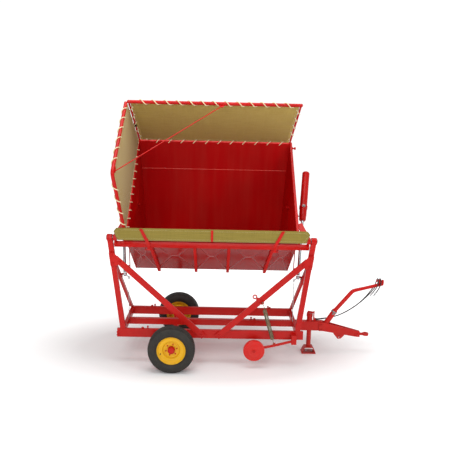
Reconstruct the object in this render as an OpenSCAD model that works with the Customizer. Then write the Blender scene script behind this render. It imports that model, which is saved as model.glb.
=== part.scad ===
// High-lift side-tipping grain cart: a hopper bin on a two-wheel chassis, tipped about
// pins at the top of the near end posts by one hydraulic cylinder at each end.
// X runs forward along the cart, Y away from the tipping side, Z up.
// The origin is on the ground, under the middle of the jack foot.

/* [Chassis] */
// Length of the near rail
near_rail_len = 3240; // [3100:10:3600]
// Length of the far rail
far_rail_len = 3120; // [3080:10:3400]
// Width over the two rails
chassis_w = 1270; // [1150:10:1500]
// Height of the rails' top face above the ground
rail_top = 630; // [600:5:760]
// Depth of a rail
rail_h = 150; // [110:5:160]
// Thickness of a rail
rail_t = 60; // [40:2:80]
// Width of the centre beam
beam_w = 90; // [60:2:110]
// Depth of the centre beam and the end cross members
beam_h = 110; // [80:2:120]

/* [Wheels] */
// Tyre outside radius
tyre_r = 400; // [360:5:440]
// Tyre section width
tyre_w = 250; // [200:5:280]
// Radius of the wheel rim at the bead
rim_r = 245; // [200:5:260]
// Distance from the middle of the cart to a wheel's middle plane
track_half = 955; // [900:5:1060]
// Distance of the axle behind the middle of the chassis
axle_back = 650; // [400:10:900]
// Radius of the axle tube
axle_r = 45; // [35:1:55]
// Radius of the wheel spindle
spindle_r = 30; // [22:1:36]

/* [End frames] */
// Height of the tipping pin above the ground
pin_z = 2240; // [2000:10:2500]
// Distance from the middle of the chassis to the foot of an end post
post_foot_x = 1520; // [1480:5:1540]
// Outward lean of the end frames, in degrees
frame_lean = 7.4; // [5:0.1:8]
// Width of an end post
post_w = 90; // [60:2:110]
// Radius of the tipping pin
pin_r = 25; // [16:1:34]
// Thickness of a strut
strut_w = 55; // [40:1:60]
// Width of a diagonal brace
brace_w = 104; // [70:2:120]
// Thickness of a diagonal brace
brace_t = 30; // [12:1:40]

/* [Bin] */
// Inside width of the bin between its end walls, at the rim
bin_w = 2900; // [2700:10:2940]
// Distance from the near rim to the far rim
bin_reach = 2390; // [2250:10:2600]
// Tip of the bin at rest, in degrees above the lowered position
tip = 41.5; // [30:0.5:50]
// Thickness of the bin's sheet
sheet_t = 6; // [3:0.5:10]
// Depth of the near wall
near_wall_h = 900; // [800:10:1000]
// Depth of the lowest corner of the hopper
hopper_h = 1300; // [1150:10:1350]
// Depth of the fold in the far wall
fold_h = 405; // [350:5:500]
// Side of the square tube round the rim
rim_tube = 45; // [30:1:60]
// Height of the near lip board
lip_h = 200; // [150:5:260]
// Thickness of the near lip board
lip_t = 26; // [16:1:36]

/* [Extensions] */
// Height of the far extension above the rim
far_ext_h = 1125; // [900:5:1200]
// Height of the rear extension above the rim
rear_ext_h = 1240; // [1000:5:1300]
// Radius of the extension pipes
pipe_r = 30; // [20:1:34]
// Thickness of the canvas as a plain sheet
canvas_t = 12; // [8:1:16]

/* [Drawbar and jack] */
// Reach of the drawbar beam in front of the middle of the chassis
beam_reach = 2060; // [2000:10:2150]
// Distance of the hitch eye in front of the middle of the chassis
hitch_x = 2870; // [2750:10:3000]
// Height of the hitch eye above the ground
hitch_z = 372; // [320:2:420]
// Radius of the hole in the hitch eye
eye_r = 27; // [20:1:32]
// Distance of the jack in front of the middle of the chassis
jack_x = 1820; // [1750:5:1860]
// Radius of the jack's inner leg
leg_r = 42; // [30:1:46]

/* [Lift cylinders] */
// Radius of a cylinder barrel
barrel_r = 70; // [50:1:75]
// Length of a cylinder barrel
barrel_len = 1120; // [1000:10:1200]
// Radius of a cylinder rod
lift_rod_r = 27; // [20:1:32]

/* [Disc and spring] */
// Radius of the disc wheel
disc_r = 185; // [140:5:195]
// Thickness of the disc wheel's tread
disc_t = 70; // [40:2:80]
// Radius of the arm spring's coil
coil_r = 36; // [24:1:40]

/* [Clearances] */
// Radial clearance of a turning pin or shaft
run_gap = 0.05; // [0.02:0.01:0.1]
// Gap between pieces that pass each other
side_gap = 2; // [1:0.5:4]

/* [Hidden] */
$fn = 64;
mid_x = -jack_x;              // the middle of the chassis
rail_y = chassis_w / 2;       // outer face of a rail
rail_mid_y = rail_y - rail_t / 2;
cross_x = 1500;               // inner face of an end cross member
cross_w = 60;
post_d = rail_t;
eye_r_out = 60;               // round eye at the top of a post
lean_run = tan(frame_lean);
post_top_x = post_foot_x + (pin_z - rail_top) * lean_run;
pin_y = -rail_mid_y;
pin_in = 30;                  // pin axis inside the near wall's outer face
pin_up = 34;                  // pin axis above the rim
taper = 0.09;                 // inward run of the end walls per unit depth
wall_lean = atan(taper);
half_w = bin_w / 2;
near_wall_in = 40;
hopper_y = 1270;
fold_y = bin_reach - 340;
section = [[0, 0], [near_wall_in, -near_wall_h], [hopper_y, -hopper_h],
           [fold_y, -fold_h], [bin_reach, 0]];
rim_x = half_w + sheet_t;     // outer face of an end wall at the rim
trunnion = [1200, -505];      // place of the lift trunnion on the end wall
trunnion_r = 32;
strut_top_z = 1850;
strut_foot_x = 1545;
foot_h = 120;
disc_at = [760, -735, 322];
arm_at = [1450, -735, 490];
arm_pin_r = 16;
lug_at = [1110, -735, 398];
mast_foot = [2085, 505];
mast_joint = [2285, 825];
mast_bend = [2590, 1200];
mast_tip = [3130, 1340];
mast_r = 37;
hose_d = 18;

// ---- helpers -------------------------------------------------------------------------

// Moves chassis coordinates, measured from the middle of the chassis, to the origin.
module cart() translate([mid_x, 0, 0]) children();

// Draws what follows for the front end, or mirrored for the rear end.
module at_end(front) if (front) children(); else mirror([1, 0, 0]) children();

// Moves the lowered bin's own frame, from its near rim, to the tipped place on the cart.
module bin_frame() cart() translate([0, pin_y, pin_z]) rotate([tip, 0, 0])
    translate([0, -pin_in, -pin_up]) children();

// The same for a single point of the bin's own frame.
function bin_point(x, y, z) = [x,
    pin_y + (y - pin_in) * cos(tip) - (z - pin_up) * sin(tip),
    pin_z + (y - pin_in) * sin(tip) + (z - pin_up) * cos(tip)];

// Lays its children's +Z axis along the line from a to b, starting at a.
module along(a, b) {
    d = b - a;
    translate(a) rotate([0, acos(d.z / norm(d)), atan2(d.y, d.x)]) children();
}

// A square bar from a to b, w across in the plane of its slope and h across that.
module bar(a, b, w, h) along(a, b) translate([-w / 2, -h / 2, 0]) cube([w, h, norm(b - a)]);

// A round rod from a to b.
module rod(a, b, r) along(a, b) cylinder(r = r, h = norm(b - a));

// A cylinder along X, centred on x.
module x_disc(x, y, z, r, h) translate([x, y, z]) rotate([0, 90, 0])
    cylinder(r = r, h = h, center = true);

// A cylinder along Y, centred on y.
module y_disc(x, y, z, r, h) translate([x, y, z]) rotate([90, 0, 0])
    cylinder(r = r, h = h, center = true);

// A ball that rounds the bend of a pipe.
module ball(p, r) translate(p) sphere(r = r, $fn = 24);

// ---- chassis -------------------------------------------------------------------------

module near_rail() color("firebrick") cart() difference() {
    translate([-near_rail_len / 2, -rail_y, rail_top - rail_h]) cube([near_rail_len, rail_t, rail_h]);
    for (x = [-near_rail_len / 2 - 1, near_rail_len / 2 - 59])
        translate([x, -rail_y + 8, rail_top - rail_h + 8]) cube([60, rail_t - 16, rail_h - 16]);
}

module far_rail() color("firebrick") cart() difference() {
    translate([-far_rail_len / 2, rail_y - rail_t, rail_top - rail_h]) cube([far_rail_len, rail_t, rail_h]);
    for (x = [-far_rail_len / 2 - 1, far_rail_len / 2 - 59])
        translate([x, rail_y - rail_t + 8, rail_top - rail_h + 8]) cube([60, rail_t - 16, rail_h - 16]);
}

beam_z = rail_top - 20 - beam_h;

module centre_beam() color("firebrick") cart()
    translate([-cross_x, -beam_w / 2, beam_z]) cube([2 * cross_x, beam_w, beam_h]);

// A channel between the two rails, its mouth towards the outside of the cart.
module end_cross(front) color("firebrick") cart() at_end(front)
    translate([cross_x, -rail_y + rail_t, beam_z]) difference() {
        cube([cross_w, chassis_w - 2 * rail_t, beam_h]);
        for (y = [-1, (chassis_w - 2 * rail_t + beam_w) / 2 + 30])
            translate([8, y, 8]) cube([cross_w, (chassis_w - 2 * rail_t - beam_w) / 2 - 29, beam_h - 16]);
    }
module end_cross_rear() end_cross(false);
module end_cross_front() end_cross(true);

axle_z = tyre_r;
hub_half = 70;
spindle_end = track_half + hub_half;

// The axle tube hangs under the rails on two pads, with a spindle at each end.
module axle_beam() color("firebrick") cart() translate([-axle_back, 0, axle_z]) {
    rotate([90, 0, 0]) cylinder(r = axle_r, h = 2 * (track_half - hub_half - side_gap), center = true);
    rotate([90, 0, 0]) cylinder(r = spindle_r, h = 2 * spindle_end, center = true);
    for (s = [-1, 1]) translate([-70, s * rail_mid_y - rail_t / 2, 0])
        cube([140, rail_t, rail_top - rail_h - axle_z]);
    translate([-35, -beam_w / 2, 0]) cube([70, beam_w, beam_z - axle_z]);
}

// ---- wheels --------------------------------------------------------------------------

rim_half = 85;
disc_x = 2;                   // back of the wheel disc, towards the outside of the cart
hub_r = 62;
shoulder_r = 45;

// Points of an arc round c, from angle a to angle b, for a turned profile.
function arc(c, r, a, b, n) = [for (i = [0:n]) c + r * [cos(a + (b - a) * i / n), sin(a + (b - a) * i / n)]];

// Turned solid on a wheel's own axis: X is the radius and Y runs outwards along the axle.
module turned(side) cart() translate([-axle_back, side * track_half, axle_z])
    rotate([-90 * side, 0, 0]) rotate_extrude($fn = 96) children();

module tyre(side) color([0.12, 0.12, 0.11]) turned(side) difference() {
    polygon(concat([[rim_r, -rim_half]],
        [[rim_r + 40, -tyre_w / 2 + 6], [rim_r + 75, -tyre_w / 2]],
        arc([tyre_r - shoulder_r, -tyre_w / 2 + shoulder_r], shoulder_r, -90, -20, 6),
        [[tyre_r, -tyre_w / 4], [tyre_r, tyre_w / 4]],
        arc([tyre_r - shoulder_r, tyre_w / 2 - shoulder_r], shoulder_r, 20, 90, 6),
        [[rim_r + 75, tyre_w / 2], [rim_r + 40, tyre_w / 2 - 6], [rim_r, rim_half]]));
    for (y = [-54, -18, 18, 54]) translate([tyre_r - 12, y - 4]) square([20, 8]);
}
module near_tyre() tyre(-1);
module far_tyre() tyre(1);

// The pressed wheel: a drop-centre rim and a dished disc clamped on the hub.
module wheel_rim(side) color("gold") turned(side) polygon([
    [rim_r, -rim_half], [rim_r, rim_half], [rim_r - 9, rim_half],
    [rim_r - 18, rim_half - 16], [160, 52], [150, 46], [140, disc_x + 12], [hub_r, disc_x + 12],
    [hub_r, disc_x], [150, disc_x], [160, 38], [rim_r - 34, 50],
    [rim_r - 34, -60], [rim_r - 9, -rim_half]]);
module near_rim() wheel_rim(-1);
module far_rim() wheel_rim(1);

// The hub carries the wheel disc on its flange and turns on the spindle.
module hub(side) color("firebrick") {
    turned(side) polygon([
        [spindle_r + run_gap, -hub_half], [50, -hub_half], [50, disc_x - 14], [118, disc_x - 14],
        [118, disc_x], [hub_r, disc_x], [hub_r, 74], [hub_r - 6, 84], [hub_r - 22, 92], [20, 96],
        [0, 97], [0, hub_half + side_gap], [spindle_r + run_gap, hub_half + side_gap]]);
    cart() translate([-axle_back, side * track_half, axle_z]) rotate([-90 * side, 0, 0])
        for (a = [0:60:300]) rotate(a) translate([96, 0, disc_x + 12]) cylinder(r = 11, h = 20, $fn = 6);
}
module near_hub() hub(-1);
module far_hub() hub(1);

// ---- end frames ----------------------------------------------------------------------

// X of the end frame's middle plane at height z.
function frame_x(z) = post_foot_x + (z - rail_top) * lean_run;

module post(front) color("firebrick") cart() at_end(front) difference() {
    union() {
        bar([frame_x(rail_top - 60), pin_y, rail_top - 60], [post_top_x, pin_y, pin_z], post_w, post_d);
        x_disc(post_top_x, pin_y, pin_z, eye_r_out, post_w);
    }
    translate([post_foot_x - 200, -rail_y - 100, rail_top - 200]) cube([400, 300, 200]);
    x_disc(post_top_x, pin_y, pin_z, pin_r, 2 * post_w);
}
module post_rear() post(false);
module post_front() post(true);

boss_z = 1490;
boss_y = -185;
boss_r = 42;
boss_pin_r = 20;
boss_x = frame_x(boss_z) - 85;
boss = [boss_x, boss_y, boss_z];
lift_top = bin_point(0, trunnion.x, trunnion.y);
lift_way = ([frame_x(lift_top.z) - 80, lift_top.y, lift_top.z] - boss) /
    norm([frame_x(lift_top.z) - 80, lift_top.y, lift_top.z] - boss);
swing_yaw = [cos(6), -sin(6), 0];
swing_way = (swing_yaw - (swing_yaw * lift_way) * lift_way) /
    norm(swing_yaw - (swing_yaw * lift_way) * lift_way);
strut_top = [frame_x(strut_top_z), pin_y + post_d / 2, strut_top_z];
strut_foot = [strut_foot_x, rail_mid_y, rail_top];

// The strut runs from the far rail up to the back of the near post, and carries the lug
// and pin of the lift cylinder's rod.
module strut(front) color("firebrick") cart() at_end(front) {
    difference() {
        union() {
            bar(strut_foot - [0, -40, 40], strut_top + [0, -40, 40], strut_w, strut_w);
            along([frame_x(boss_z - 45), boss_y + 6, boss_z - 45], boss + [0, 0, 12])
                translate([-28, -26, -12]) cube([56, 52, 40]);
        }
        translate([1400, rail_y - rail_t - 60, rail_top - 200]) cube([400, 200, 200]);
        translate([1400, -rail_y - 100, 1400]) cube([500, 100 + post_d, 700]);
    }
    rod(boss - 36 * swing_way, boss + 60 * swing_way, boss_pin_r);
}
module strut_rear() strut(false);
module strut_front() strut(true);

brace_top = [1640, 1900];
brace_foot = [115, 515];
brace_y = -rail_y - brace_t / 2;

module brace(front) color("firebrick") cart() at_end(front)
    bar([brace_top.x, brace_y, brace_top.y], [brace_foot.x, brace_y, brace_foot.y], brace_w, brace_t);
module brace_rear() brace(false);
module brace_front() brace(true);

// Plates that tie each brace to its post.
module frame_gussets() color("firebrick") cart() for (f = [false, true]) at_end(f)
    translate([0, -rail_y - brace_t - 8, 0]) rotate([90, 0, 0]) mirror([0, 0, 1]) linear_extrude(8)
        polygon([[frame_x(1760) - post_w / 2, 1760], [frame_x(1760) + post_w / 2, 1760],
            [frame_x(1990) + post_w / 2, 1990], [frame_x(1990) - post_w / 2, 1990],
            [1560, 1880], [1530, 1800]]);

// Spacers behind the gussets, and the bolt heads of the frame and the drawbar.
module bolt_set() color("dimgray") cart() {
    for (s = [-1, 1]) {
        y_disc(s * frame_x(1800), -rail_y - brace_t / 2, 1800, 20, brace_t);
        y_disc(s * frame_x(1950), -rail_y - brace_t / 2, 1950, 20, brace_t);
        y_disc(s * 150, -rail_y - brace_t - 6, 545, 15, 12);
    }
    for (s = [-1, 1]) for (x = [2010, 2045]) y_disc(x, s * 80, 460, 13, 10);
}

pin_out = post_w / 2 + 14;
ear_gap = 15;                   // clear of the post, which leans in below the pin
ear_mid_x = post_top_x - post_w / 2 - ear_gap - 30;

// The two pins that the bin tips about, each with a round head.
module pivot_pins() color("gray") cart() for (s = [-1, 1]) {
    x0 = ear_mid_x - 34;
    x_disc(s * (x0 + post_top_x + pin_out) / 2, pin_y, pin_z, pin_r, post_top_x + pin_out - x0);
    x_disc(s * (post_top_x + post_w / 2 + 7), pin_y, pin_z, 38, 14);
}

eye_rings = [[755, 1262, 32], [880, 1162, 27]];
eye_wire = 11;

// A plate across the front brace with an eye ring at each end, for the spring's hook.
module spring_eye_plate() color("firebrick") cart() {
    y = -rail_y - brace_t - eye_wire;
    bar([790, y, 1234], [850, y, 1186], 56, 2 * eye_wire);
    for (p = eye_rings) translate([p.x, y, p.y]) rotate([90, 0, 0]) rotate_extrude()
        translate([p.z, 0]) circle(r = eye_wire, $fn = 24);
}

// ---- drawbar, jack and mast ----------------------------------------------------------

draw_w = 110;
draw_h = 170;
draw_z = rail_top - 20 - draw_h;
sleeve_r = leg_r + run_gap + 7.95;

module drawbar_beam() color("firebrick") cart() difference() {
    union() {
        translate([cross_x + cross_w, -draw_w / 2, draw_z])
            cube([beam_reach - cross_x - cross_w, draw_w, draw_h]);
        translate([hose_exit.x - 40, hose_exit.y - 20, draw_z + draw_h]) cube([40, 64, 40]);
    }
    translate([jack_x, 0, draw_z - 1]) cylinder(r = sleeve_r, h = draw_h + 2);
}

bars_back = 1990;
bars_front = hitch_x - 110;
bar_t = 20;
shank_w = 30;

// Two tapering side bars that converge from the beam to the hitch eye's shank, each with
// a pressed triangular rest under it.
module drawbar_bars() color("firebrick") cart() for (s = [-1, 1]) difference() {
    union() {
        translate([bars_back, s * (draw_w + bar_t) / 2 - bar_t / 2, draw_z])
            cube([beam_reach - bars_back + 10, bar_t, 160]);
        hull() {
            translate([beam_reach, s * (draw_w + bar_t) / 2 - bar_t / 2, draw_z])
                cube([10, bar_t, 160]);
            translate([bars_front - 60, s * (shank_w + bar_t) / 2 - bar_t / 2, hitch_z - 48])
                cube([60, bar_t, 100]);
        }
        translate([0, s * 46 + 6, 0]) rotate([90, 0, 0]) linear_extrude(12)
            polygon([[2270, 420], [2490, 390], [2480, 372], [2410, 292], [2350, 284], [2270, 380]]);
    }
    y_disc(2370, 0, 332, 20, 200);
}

// The forged eye: a ring with a flat shank bolted between the side bars.
module hitch_eye() color("firebrick") cart() difference() {
    union() {
        translate([hitch_x, 0, hitch_z]) cylinder(r = eye_r + 30, h = 44, center = true);
        translate([bars_front - 60, -shank_w / 2, hitch_z - 22]) cube([150, shank_w, 44]);
    }
    translate([hitch_x, 0, hitch_z]) cylinder(r = eye_r, h = 60, center = true);
}

// The sloping socket for the hose mast, on a foot between the side bars.
module mast_socket() color("firebrick") cart() difference() {
    rod([mast_foot.x, 0, mast_foot.y], [mast_joint.x, 0, mast_joint.y], mast_r + 12);
    translate([mast_foot.x - 200, -100, draw_z - 300]) cube([200 + beam_reach - mast_foot.x, 200, 700]);
    rod([mast_foot.x + 20, 0, mast_foot.y + 32], [mast_joint.x + 40, 0, mast_joint.y + 64], mast_r);
}

mast_dir = (mast_joint - mast_foot) / norm(mast_joint - mast_foot);
mast_in = mast_foot + 90 * mast_dir;

module hose_mast() color("firebrick") cart() {
    rod([mast_in.x, 0, mast_in.y], [mast_bend.x, 0, mast_bend.y], mast_r);
    ball([mast_bend.x, 0, mast_bend.y], mast_r);
    rod([mast_bend.x, 0, mast_bend.y], [mast_tip.x, 0, mast_tip.y], 30);
    rod([mast_tip.x - 6, 0, mast_tip.y - 4], [mast_tip.x - 6, 0, mast_tip.y + 62], 22);
    ball([mast_tip.x - 6, 0, mast_tip.y + 62], 22);
}

saddle_r = 64;
saddle = [3056, 1357];

// The half-round saddle on the mast that the hoses hang over.
module hose_saddle() color("firebrick") cart() difference() {
    union() {
        x_disc(saddle.x, 0, saddle.y, saddle_r, 76);
        translate([saddle.x - 12, -12, 1345]) cube([24, 24, 40]);
    }
    difference() {
        x_disc(saddle.x, 0, saddle.y, saddle_r - 8, 80);
        translate([saddle.x - 12, -12, 1340]) cube([24, 24, 100]);
    }
    translate([saddle.x - 60, -80, 1200]) cube([120, 68, 160]);
    translate([saddle.x - 60, 12, 1200]) cube([120, 68, 160]);
    translate([saddle.x - 60, -80, 1200]) cube([120, 160, 150]);
}

spindle_z = 776;
crank_r = 12;
crank_arm = [96, -52];

// The jack's outer tube passes down through the drawbar beam; its head carries the spindle.
module jack_sleeve() color("firebrick") cart() translate([jack_x, 0, 0]) difference() {
    union() {
        translate([0, 0, draw_z]) cylinder(r = sleeve_r, h = spindle_z - 30 - draw_z);
        translate([0, 0, draw_z + draw_h]) cylinder(r = sleeve_r + 14, h = 10);
        translate([0, 0, spindle_z - 76]) cylinder(r = sleeve_r + 8, h = 56);
        translate([-28, 0, spindle_z - 20]) cylinder(r = 24, h = 20);
    }
    translate([0, 0, draw_z - 1]) cylinder(r = leg_r + run_gap, h = 271);
    translate([-28, 0, spindle_z - 50]) cylinder(r = crank_r + run_gap, h = 60);
}

// The jack's leg with its pressed foot.
module jack_leg() color("firebrick") cart() translate([jack_x, 0, 0]) {
    translate([0, 0, foot_h - 12]) cylinder(r = leg_r, h = draw_z + 110 - foot_h + 12);
    translate([-130, -100, 0]) cube([260, 200, 14]);
    translate([0, 80, 0]) rotate([90, 0, 0]) linear_extrude(160) difference() {
        polygon([[-118, 14], [118, 14], [118, 44], [75, foot_h], [-75, foot_h], [-118, 44]]);
        polygon([[-104, 14], [104, 14], [104, 40], [68, foot_h - 12], [-68, foot_h - 12], [-104, 40]]);
    }
}

// The jack's crank: an upright spindle, a level arm and an upright handle.
module jack_crank() color("firebrick") cart() translate([jack_x - 28, 0, spindle_z]) {
    translate([0, 0, -50]) cylinder(r = crank_r, h = 70);
    bar([-10, 6, 12], [crank_arm.x + 8, crank_arm.y - 4, 12], 24, 24);
    translate([crank_arm.x, crank_arm.y, -150]) cylinder(r = 11, h = 190);
}

// ---- hoses ---------------------------------------------------------------------------

// A tube swept along a list of points: one ring of sides at each point.
module tube(path, r, sides) {
    n = len(path);
    way = [for (i = [0:n - 1]) path[min(i + 1, n - 1)] - path[max(i - 1, 0)]];
    across = [for (d = way) cross([0.2, 1, 0.1], d) / norm(cross([0.2, 1, 0.1], d))];
    up = [for (i = [0:n - 1]) cross(way[i], across[i]) / norm(way[i])];
    polyhedron(
        points = [for (i = [0:n - 1]) for (k = [0:sides - 1])
            path[i] + r * (across[i] * cos(360 * k / sides) + up[i] * sin(360 * k / sides))],
        faces = concat([[for (k = [0:sides - 1]) k]],
            [for (i = [0:n - 2]) for (k = [0:sides - 1]) let (a = i * sides, b = (k + 1) % sides)
                [a + k, a + sides + k, a + sides + b, a + b]],
            [[for (k = [sides - 1:-1:0]) (n - 1) * sides + k]]));
}

// A smooth curve through a route's points, with m steps to each stretch.
function smooth(p, m) = concat([for (i = [0:len(p) - 2]) for (j = [0:m - 1])
    let (a = p[max(i - 1, 0)], b = p[i], c = p[i + 1], d = p[min(i + 2, len(p) - 1)], t = j / m)
    0.5 * (2 * b + (c - a) * t + (2 * a - 5 * b + 4 * c - d) * t * t + (3 * b - a - 3 * c + d) * t * t * t)],
    [p[len(p) - 1]]);

hose_exit = [1935, 22, 630];
pressure_route = [[1936.5, 22, 630], [1985, 29, 630], [2040, 50, 631], [2095, 67, 634],
    [2170, 70, 645], [2250, 72, 665], [2340, 74, 695], [2430, 76, 735], [2520, 78, 785],
    [2610, 78, 845], [2700, 78, 915], [2780, 78, 990], [2850, 78, 1070], [2915, 78, 1155],
    [2970, 77, 1240], [3010, 78, 1310], [3028, 72, 1384], [3032, 42, 1422], [3034, 0, 1435],
    [3032, -42, 1422], [3026, -72, 1384], [3012, -77, 1320], [2975, -74, 1250], [2935, -72, 1190]];
return_route = [[1936.5, 50, 630], [1985, 58, 630], [2040, 76, 630], [2095, 91, 632],
    [2170, 96, 640], [2250, 98, 656], [2340, 100, 682], [2430, 102, 720], [2520, 103, 768],
    [2610, 104, 827], [2700, 104, 896], [2785, 104, 970], [2865, 104, 1050], [2940, 104, 1135],
    [3005, 102, 1225], [3050, 90, 1305], [3070, 72, 1384], [3076, 42, 1422], [3078, 0, 1435],
    [3076, -42, 1422], [3072, -72, 1384], [3060, -77, 1320], [3030, -74, 1250], [2994, -72, 1190]];
coupling_r = 15;
coupling_len = 75;

module hose_pressure() color([0.1, 0.1, 0.1]) cart() tube(smooth(pressure_route, 2), hose_d / 2, 8);
module hose_return() color([0.1, 0.1, 0.1]) cart() tube(smooth(return_route, 2), hose_d / 2, 8);

// A quick coupling on the free end of each hose, in line with its last stretch.
module hose_couplings() color("silver") cart() for (route = [pressure_route, return_route]) {
    n = len(route);
    last = route[n - 1];
    step = (last - route[n - 2]) / norm(last - route[n - 2]);
    rod(last, last + coupling_len * step, coupling_r);
}

// ---- disc wheel on its sprung arm ----------------------------------------------------

arm_y = -rail_y - 77;
disc_y = arm_y - 12 - disc_t / 2 - side_gap;
bush_r = 42;
bush_half = 16;
arm_t = 20;
arm_deep = 42;

// Two plates on the rail's face hold the arm's pin.
module arm_bracket() color("firebrick") cart() {
    for (s = [-1, 1]) translate([arm_at.x - 45, arm_y + s * (bush_half + side_gap + 6) - 6, 430]) cube([90, 12, 148]);
    translate([arm_at.x - 45, arm_y - bush_half - side_gap - 12, 578])
        cube([90, -rail_y - arm_y + bush_half + side_gap + 12, 12]);
    y_disc(arm_at.x, arm_y, arm_at.z, arm_pin_r, 2 * (bush_half + side_gap + 12) + 12);
}

// The arm: a bush, a bent bar, the spring's lug and the disc's stub axle.
module disc_arm() color("firebrick") cart() difference() {
    union() {
        y_disc(arm_at.x, arm_y, arm_at.z, bush_r, 2 * bush_half);
        translate([0, arm_y + arm_t / 2, 0]) rotate([90, 0, 0]) linear_extrude(arm_t) polygon([
            for (p = [arm_at, lug_at, disc_at]) [p.x, p.z + arm_deep / 2],
            for (p = [disc_at, lug_at, arm_at]) [p.x, p.z - arm_deep / 2]]);
        translate([lug_at.x - 22, arm_y - 6, lug_at.z]) cube([44, 12, 52]);
        y_disc(disc_at.x, arm_y, disc_at.z, 34, 24);
        y_disc(disc_at.x, disc_y - 8, disc_at.z, 16, disc_t + 40);
        y_disc(disc_at.x, disc_y - disc_t / 2 - side_gap - 8, disc_at.z, 24, 16);
    }
    y_disc(arm_at.x, arm_y, arm_at.z, arm_pin_r + run_gap, 80);
}

// The disc wheel: a smooth tread with a thin web and a hub.
module disc_wheel() color("red") cart() translate([disc_at.x, disc_y, disc_at.z])
    rotate([90, 0, 0]) rotate_extrude($fn = 96) polygon([
        [16 + run_gap, -disc_t / 2], [40, -disc_t / 2], [40, -8], [disc_r - 14, -8],
        [disc_r - 10, -disc_t / 2], [disc_r, -disc_t / 2 + 4], [disc_r, disc_t / 2 - 10],
        [disc_r - 10, disc_t / 2], [disc_r - 20, disc_t / 2], [disc_r - 26, disc_t / 2 - 6],
        [40, disc_t / 2 - 8], [34, disc_t / 2], [16 + run_gap, disc_t / 2]]);

spring_top = [912, 1088];
spring_foot = [1092, 470];

// The tension spring as its outer cylinder, clear of the eye ring and the arm's lug.
module arm_spring() color("silver") cart()
    rod([spring_top.x, arm_y, spring_top.y], [spring_foot.x, arm_y, spring_foot.y], coil_r);

// ---- bin -----------------------------------------------------------------------------

// The inner corner that is sheet_t inside corner b, between the sheets a-b and b-c.
function inner(a, b, c) = let (p = (b - a) / norm(b - a), q = (c - b) / norm(c - b),
    n = [-p.y, p.x], m = [-q.y, q.x]) b + sheet_t * (n + m) / (1 + n * m);
lining = [[sheet_t, 0], inner(section[0], section[1], section[2]),
    inner(section[1], section[2], section[3]), inner(section[2], section[3], section[4]),
    [bin_reach - sheet_t, 0]];

// Extrudes a profile in Y and Z across the bin, between its tapering end walls.
module across_bin() intersection() {
    translate([-half_w, 0, 0]) rotate([90, 0, 90]) linear_extrude(bin_w) children();
    translate([0, bin_reach + 10, 0]) rotate([90, 0, 0]) linear_extrude(bin_reach + 20)
        polygon([[-half_w, 0], [half_w, 0], [half_w - taper * 2000, -2000], [-half_w + taper * 2000, -2000]]);
}

module near_wall() color("firebrick") bin_frame() across_bin()
    polygon([section[0], section[1], lining[1], lining[0]]);
module bin_floor() color("firebrick") bin_frame() across_bin()
    polygon([section[1], section[2], lining[2], lining[1]]);
module far_wall() color("firebrick") bin_frame() across_bin()
    polygon([section[2], section[3], section[4], lining[4], lining[3], lining[2]]);

// A flat end wall leaning with the taper, with the pad and stub of the lift trunnion.
module end_wall(front) color("firebrick") bin_frame() at_end(front) {
    translate([half_w, 0, 0]) rotate([0, wall_lean, 0]) rotate([90, 0, 90]) linear_extrude(sheet_t)
        polygon([for (p = section) [p.x, p.y / cos(wall_lean)]]);
    x0 = half_w + trunnion.y * taper;
    x_disc(x0 + sheet_t + 4, trunnion.x, trunnion.y, 90, 16);
    x_disc(x0 + 40, trunnion.x, trunnion.y, trunnion_r, 80);
}
module end_wall_rear() end_wall(false);
module end_wall_front() end_wall(true);

// The square tube round the rim of the bin.
module rim_far() color("firebrick") bin_frame()
    translate([-rim_x - rim_tube, bin_reach, -rim_tube]) cube([2 * (rim_x + rim_tube), rim_tube, rim_tube]);
module rim_side(front) color("firebrick") bin_frame() at_end(front)
    translate([rim_x, 0, -rim_tube]) cube([rim_tube, bin_reach, rim_tube]);
module rim_rear() rim_side(false);
module rim_front() rim_side(true);

rib_top = 100;
rib_w = 50;
rib_d = 45;
wall_dir = (section[1] - section[0]) / norm(section[1] - section[0]);
outer_ribs = [1050, 950];
inner_ribs = [295, 285];

// Channel ribs down the outside of the near wall, a slanted pair and an upright pair. The
// slanted pair carries the lip's hinge lugs.
module wall_ribs() color("firebrick") bin_frame() for (s = [-1, 1]) {
    lug_gap = strap_w / 2 + side_gap + 6;
    for (r = [outer_ribs, inner_ribs])
        rotate([atan2(wall_dir.y, wall_dir.x), 0, 0]) translate([0, 0, -rib_d]) linear_extrude(rib_d)
            polygon([[s * r.x - rib_w / 2, rib_top], [s * r.x + rib_w / 2, rib_top],
                [s * r.y + rib_w / 2, near_wall_h + 30], [s * r.y - rib_w / 2, near_wall_h + 30]]);
    for (k = [-1, 1]) translate([s * strap_x + k * lug_gap - 6, knuckle.x - 12, knuckle.y - 14])
        cube([12, -knuckle.x + 17, 28]);
    x_disc(s * strap_x, knuckle.x, knuckle.y, knuckle_pin_r, strap_w + 2 * side_gap + 24);
}

beam_side = 74;
beam_drop = 15;               // from the rim's edge down to the beam's top
beam_off = 1;                 // the beam stands this clear of the near wall's top
arm_boss_r = 55;
arm_boss_w = 60;

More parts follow.
